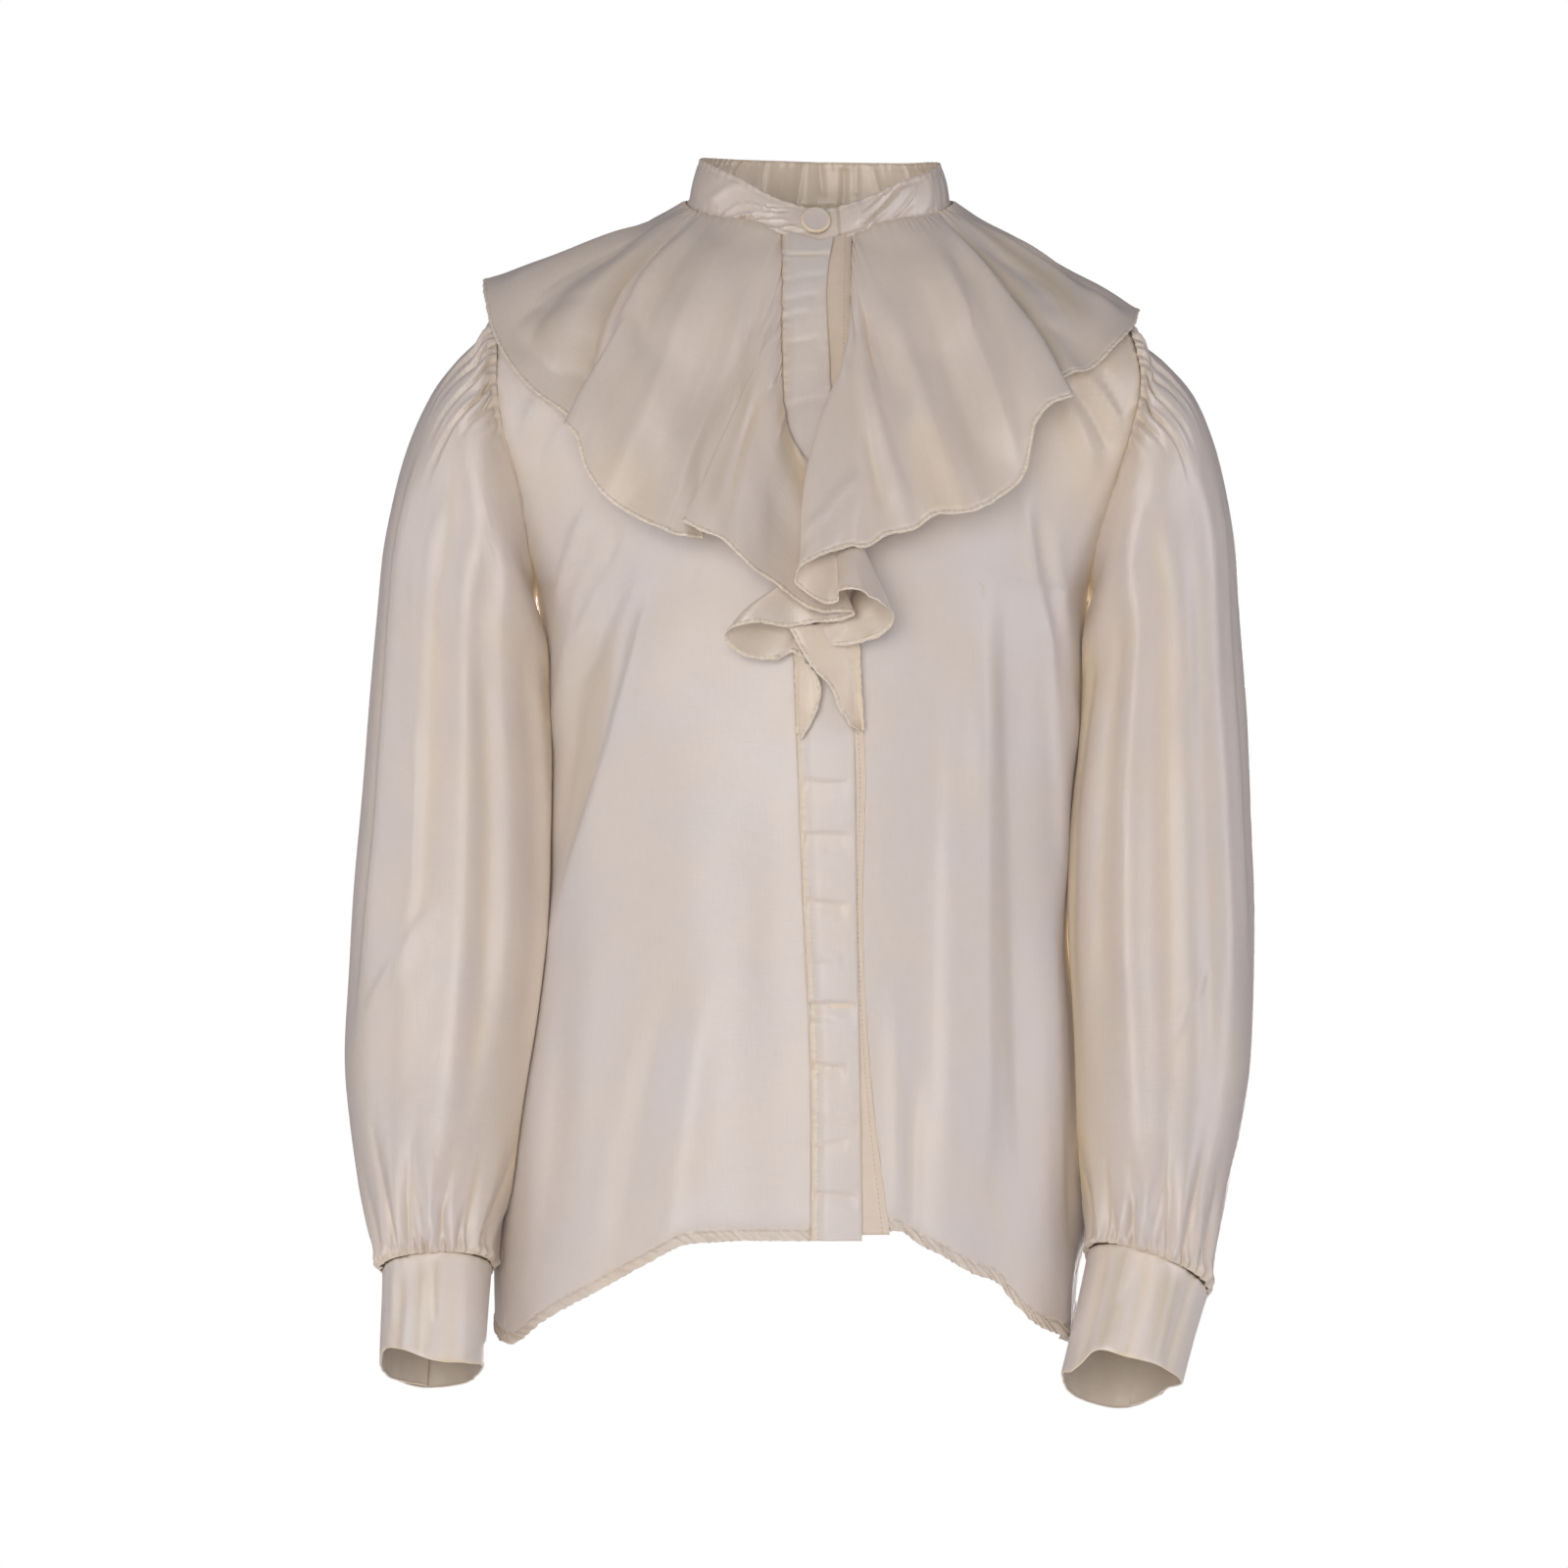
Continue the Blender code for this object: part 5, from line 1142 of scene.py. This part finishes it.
def sleeve_points(table, side, long_folds, seed):
    """A sleeve's outer face. The turn starts at the shoulder and runs to the front and underarm."""
    keyed = [(number, *row) for number, row in enumerate(table)]
    fine = np.linspace(0, len(table) - 1, 600)
    rings = curve(keyed, fine)
    length = lengths_along((rings[:, :2] + rings[:, 2:4]) / 2)
    near_cap = np.array(SLEEVE_EDGE_STEPS)
    near_cuff = length[-1] - near_cap[::-1]
    between = np.linspace(near_cap[-1], near_cuff[0], SLEEVE_ROWS)[1:-1]
    wanted = np.concatenate([near_cap, between, near_cuff])
    station = np.interp(wanted, length, fine)
    fine = np.linspace(0, 360, 721)
    dense = summed(1 + 1.2 * smooth_step((80 - np.abs(fine[1:] - 72)) / 20))
    turn = np.radians(np.interp(np.linspace(0, dense[-1], SLEEVE_COLUMNS), dense, fine))
    rounder = smooth_step((np.abs(turn / math.pi - 0.55) - 0.35) / 0.25)
    square = SLEEVE_SQUARE + (1 - SLEEVE_SQUARE) * rounder
    across = np.sign(np.sin(turn)) * np.abs(np.sin(turn)) ** square
    points = tube_points(curve(keyed, station), np.cos(turn), across)
    follow = np.clip(1 - station / ARMHOLE_BLEND_RINGS, 0, 1)[:, None]
    edge = side * curve(BODY, points[0, :, 2])[:, 0 if side < 0 else 1]
    step = ARMHOLE_STEP * np.clip(1 - station, 0, 1) * smooth_step((wanted + 0.2) / 1.6)
    step = step[:, None] * (1 - 0.75 * smooth_step((turn - 1.2) / 0.6) * (turn < 4.4))
    points[..., 0] += follow * (edge - points[0, :, 0]) + side * step
    angle = np.degrees(turn)[None, :]
    from_cap, from_cuff = wanted[:, None], (wanted[-1] - wanted)[:, None]
    cap = gathers(angle, from_cap, CAP_GATHERS, turned_by=3 * (side + 1))
    wrist = gathers(angle, from_cuff, CUFF_GATHERS, longer=1.15, turned_by=5 * (side + 1))
    long = 0.6 * round_folds(angle, points[..., 2], long_folds)
    roping = 0.5 * np.exp(-from_cap / 3) + np.exp(-from_cuff / 4)
    puff = 0.6 + 0.5 * joined(lambda a: rope(a, 12.0, seed + 2), angle)
    rise = cap + wrist + long + edge_roll(from_cap, 0.9, 1.6) + PANEL_LIFT
    rise += 0.6 * joined(lambda a: uneven(a, from_cap, 70, seed), angle)
    rise += 0.35 * joined(lambda a: rope(a, 7.0, seed), angle) * roping
    rise += 2.3 * puff * ridge((from_cuff - 3.0) / 2.8)
    points = raised(points, rise, turned=side < 0, closed=True)
    amount = smooth_step((ARMHOLE_FOOT - points[..., 2]) / UNDERARM_BLEND)
    points = outside_body(points, SLEEVE_OFF_BODY, amount)
    # Painted warm light by the gathers and in troughs of the folds, and a painted glow under the arm
    # beside the gap to the body.
    warm = 0.3 * roping + 0.18 * np.maximum(-0.2 - long, 0) - 0.2 * np.minimum(cap + wrist, 0)
    beside = ridge(around(angle - SLEEVE_GLOW_AT) / SLEEVE_GLOW_WIDTH)
    return points, warm + GLOW_WARMTH * beside * glow_height(points[..., 2])


warm_ivory = silk_satin("warm_ivory_silk_satin", "#CDC1B8", "#DECAA8", roughness=0.4)
for name, table, side, long_folds, seed in (
    ("sleeve_right", RIGHT_SLEEVE, -1, RIGHT_SLEEVE_FOLDS, 1.1),
    ("sleeve_left", LEFT_SLEEVE, 1, LEFT_SLEEVE_FOLDS, 3.7),
):
    points, warm = sleeve_points(table, side, long_folds, seed)
    sleeve = cloth_sheet(
        name + "_tube", points, warm_ivory, turned=side < 0, closed=True, warm=warm
    )
    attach(sleeve, "root")
    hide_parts(name)

# The cuffs: deep plain bands of double silk, lightly lined. The ends lap at the back of the wrist,
# where one covered button closes each.
CUFF_DEPTH = 57
CUFF_GIRTH = 220
CUFF_COLUMNS = 170
CUFF_LIFT = 1.1
CUFF_WALL = 0.9
# Painted shade on the inner face of the cuff.
CUFF_INSIDE_PAINTED_SHADE = -0.3
CUFF_LAP = 0.1
CUFF_LAP_AT = 0.78
# Rings of the top and the foot, as for the sleeves.
RIGHT_CUFF = ((-239, -589.3, -181, -586.3, -38, 36, 12), (-239, -642, -185, -643, -54, 36, 11))
LEFT_CUFF = ((211, -601.2, 148, -578.2, -47, 32, 14), (196, -646, 132, -647, -66, 33, 15))
# The open foot is limp and uneven: angle round the cuff (90 in front), rise of the edge.
RIGHT_CUFF_FOOT = (
    (0, 2), (32, 8), (60, 5), (92, 0), (140, 0), (170, 3), (215, 1), (270, -2), (330, 0), (360, 2),
)
LEFT_CUFF_FOOT = (
    (0, -2), (36, -3), (70, 0), (96, 3), (118, 6), (148, 0), (178, 4), (230, -1), (280, -3), (330, 1),
    (360, -2),
)
# Soft bands down the cuff: share of the turn at the top, share of the height, the same at the
# foot, bend, width on either side, rise.
RIGHT_CUFF_FOLDS = (
    (0.44, 1, 0.45, -0.3, 0, 0.03, 0.035, 0.9), (0.37, 0.9, 0.36, -0.2, 0, 0.03, 0.02, -0.8),
    (0.53, 0.95, 0.54, -0.3, 0, 0.03, 0.03, -0.8), (0.33, 1.2, 0.34, 0.2, 0, 0.014, 0.02, 0.5),
    (0.8, 1.2, 0.8, -0.2, 0, 0.03, 0.02, -0.8), (0.15, 1.2, 0.14, -0.2, 0, 0.03, 0.03, 0.9),
    (0.47, 1.05, 0.49, 0.3, 0, 0.008, 0.012, 0.5),
)
LEFT_CUFF_FOLDS = (
    (0.41, 1.1, 0.39, -0.3, 0, 0.03, 0.03, 1), (0.47, 1.1, 0.465, -0.3, 0, 0.02, 0.02, -0.9),
    (0.54, 1.2, 0.52, -0.2, 0, 0.025, 0.03, 1), (0.6, 1.1, 0.59, -0.1, 0, 0.02, 0.02, -0.8),
    (0.34, 1.2, 0.35, -0.1, 0, 0.02, 0.02, -0.7), (0.8, 1.2, 0.8, -0.2, 0, 0.03, 0.02, 0.8),
    (0.15, 1.2, 0.14, -0.2, 0, 0.03, 0.03, -0.9), (0.5, 1.05, 0.52, 0.4, 0, 0.008, 0.012, -0.5),
)
pale_ivory = silk_satin("pale_ivory_silk_satin", "#DCD1C8", "#DECAA8", roughness=0.4)
down = np.concatenate([(0, 0.012, 0.03), np.linspace(0.06, 0.95, 26), (0.975, 0.99, 1)])[:, None]
share = np.linspace(0, 1 + CUFF_LAP, CUFF_COLUMNS)
turn = 2 * math.pi * (share + CUFF_LAP_AT)
under = LAP_STEP * (1 - smooth_step(share / CUFF_LAP - 1)) * (share < 2 * CUFF_LAP)
along, from_top, from_foot = CUFF_GIRTH * share, CUFF_DEPTH * down, CUFF_DEPTH * (1 - down)
for name, table, side, bands, foot, seed in (
    ("cuff_right", RIGHT_CUFF, -1, RIGHT_CUFF_FOLDS, RIGHT_CUFF_FOOT, 0.3),
    ("cuff_left", LEFT_CUFF, 1, LEFT_CUFF_FOLDS, LEFT_CUFF_FOOT, 2.2),
):
    ends = np.asarray(table, float)
    rows = ends[0] + (ends[1] - ends[0]) * down
    half_width = np.linalg.norm(rows[:, :2] - rows[:, 2:4], axis=1)[:, None] / 2
    scale = 1 - under / half_width
    points = tube_points(rows, np.cos(turn) * scale, np.sin(turn) * scale)
    rise = 1.4 * folds(share, 1 - down, bands, start=0.25, end=0.2)
    rise += 0.35 * uneven(along, from_top, 55, seed)
    rise += 0.25 * rope(along, 7.5, seed) * np.exp(-from_top / 3)
    rise += 0.2 * rope(along, 12, seed + 1) * np.exp(-from_foot / 3)
    rise += edge_roll(from_top, 0.3, 0.8) + edge_roll(from_foot, 0.45, 0.9)
    points = raised(points, rise + CUFF_LIFT, turned=side < 0)
    points[..., 2] += 0.9 * uneven(along, 0, 40, seed) * down
    points[..., 2] += curve(foot, np.degrees(turn) % 360)[:, 0] * down**2
    # Painted warm light at the top seam, the foot and in troughs.
    warm = 0.4 * np.exp(-from_top / 2) + 0.7 * np.exp(-from_foot / 1.2) - 0.25 * rise
    cuff = cloth_sheet(
        name + "_band", points, pale_ivory, CUFF_WALL, side < 0, warm=warm, within=CUFF_INSIDE_PAINTED_SHADE
    )
    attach(cuff, "root")
    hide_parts(name)

# The three buttons: flat metal shells covered in the same silk, drawn in under the rim. One closes
# the collar and one each cuff, held by a short thread shank behind.
BUTTON_STEPS = 56
BUTTON_RIM_WARMTH = 1.15
# The covered shell: share of the radius and share of the thickness, from the face's middle.
BUTTON_SHAPE = (
    (0, 0.93), (0.3, 0.94), (0.6, 0.95), (0.78, 0.96), (0.86, 1), (0.92, 0.98), (0.97, 0.84), (1, 0.62),
    (1, 0.42), (0.96, 0.22), (0.88, 0.08), (0.6, 0), (0, 0),
)
button_silk = silk_satin("button_silk_satin", "#C8BCB2", "#DCC9A9", roughness=0.5)
from_middle, thick = np.array(BUTTON_SHAPE).T[..., None]
turn = np.linspace(0, 2 * math.pi, BUTTON_STEPS + 1)
pucker = 1 + 0.02 * rope(np.degrees(turn), 21, 1.0) * smooth_step((from_middle - 0.8) / 0.2)
pucker[:, -1] = pucker[:, 0]
# Painted warm light round the rim, and past 1 a faint painted glow.
rim = BUTTON_RIM_WARMTH * smooth_step((from_middle - 0.84) / 0.1)
for name, outwards in (
    ("collar_button", (0, -1, 0.3)),
    ("cuff_button_right", (0, 1, 0)),
    ("cuff_button_left", (0, 1, 0)),
):
    corners = np.array([vertex.co for vertex in bpy.data.objects[name].data.vertices]) / MM
    centre = (corners.max(0) + corners.min(0)) / 2
    axis = np.linalg.svd(corners - corners.mean(0), full_matrices=False)[2][2]
    axis *= np.sign(axis @ np.array(outwards))
    along = (corners - centre) @ axis
    radius = np.linalg.norm(corners - centre - along[:, None] * axis, axis=1).max()
    first = unit(np.cross(axis, (1.0, 0.0, 0.0)))
    second = np.cross(axis, first)
    ring = np.cos(turn)[:, None] * first + np.sin(turn)[:, None] * second
    lift = along.min() + (along.max() - along.min()) * thick
    points = centre + (from_middle * radius * pucker)[..., None] * ring + lift[..., None] * axis
    button = cloth_sheet(name + "_covered", points, button_silk, 0, closed=True, warm=rim)
    work = bmesh.new()
    work.from_mesh(button.data)
    bmesh.ops.recalc_face_normals(work, faces=work.faces)
    work.to_mesh(button.data)
    work.free()
    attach(button, "root")
    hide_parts(name)

# The studio: a pale floor, a large soft light in front, a smaller one behind and weak ones at the
# sides.
FLOOR_HEIGHT = -1000.0
FLOOR_WIDTH = 3200.0
AIM = Vector((0, 0, -0.3))
SENSOR = 36
CAMERA_AWAY = 3.0
VIEW_WIDTH = 0.872
VIEW_MIDDLE = (-0.0196, -0.3216)
work = bmesh.new()
bmesh.ops.create_grid(work, x_segments=1, y_segments=1, size=FLOOR_WIDTH / 2 * MM)
bmesh.ops.translate(work, verts=work.verts, vec=(0, 0, FLOOR_HEIGHT * MM))
paper, shader = new_material("white_paper")
feed(
    shader,
    {
        "Base Color": srgb("#F4F2F0"),
        "Roughness": 0.9,
        "Emission Color": srgb("#FFFFFF"),
        "Emission Strength": 0.25,
    },
)
floor = add_mesh("studio_floor", work, paper)

scene = bpy.context.scene
world = bpy.data.worlds.new("studio")
scene.world = world
world.use_nodes = True
world.node_tree.nodes.clear()
place = add_node(world, "TexCoord", {}, "Generated")
front = add_node(world, "Mapping", {0: place, 2: (0, 0, math.radians(90))})
sky = add_node(world, "TexGradient", {0: front}, "Fac")
ramp = add_node(world, "ValToRGB", {0: sky})
ramp.node.color_ramp.elements[0].color = srgb("#4E4E55")
ramp.node.color_ramp.elements[1].color = srgb("#8E8E94")
camera_ray = add_node(world, "LightPath", {}, "Is Camera Ray")
tones = {0: camera_ray, 6: ramp, 7: srgb("#FFFFFF")}
seen = add_node(world, "Mix", tones, 2, data_type="RGBA")
back = add_node(world, "Background", {"Color": seen, "Strength": 1.0})
add_node(world, "OutputWorld", {"Surface": back})

for name, place, width, power, tint in (
    ("soft_box_front", (-560, -2620, 80), 1700, 38.7, "#FFFCFA"),
    ("soft_box_left", (-2500, -800, 200), 1300, 13, "#F2F2FF"),
    ("soft_box_right", (2500, -800, 250), 1300, 21, "#F2F2FF"),
    ("soft_box_back", (500, 2600, -480), 900, 34, "#FFFCFA"),
):
    light = bpy.data.lights.new(name, "AREA")
    light.shape = "SQUARE"
    light.size = width * MM
    light.energy = power
    light.color = srgb(tint)[:3]
    lamp = bpy.data.objects.new(name, light)
    lamp.location = Vector(place) * MM
    lamp.rotation_euler = (AIM - lamp.location).to_track_quat("-Z", "Y").to_euler()
    scene.collection.objects.link(lamp)

camera = bpy.data.cameras.new("camera")
camera.sensor_width = SENSOR
camera.lens = SENSOR * CAMERA_AWAY / VIEW_WIDTH
seer = bpy.data.objects.new("camera", camera)
seer.location = (VIEW_MIDDLE[0], -CAMERA_AWAY, VIEW_MIDDLE[1])
seer.rotation_euler = (math.radians(90), 0, 0)
scene.collection.objects.link(seer)
scene.camera = seer
scene.view_settings.view_transform = "Standard"
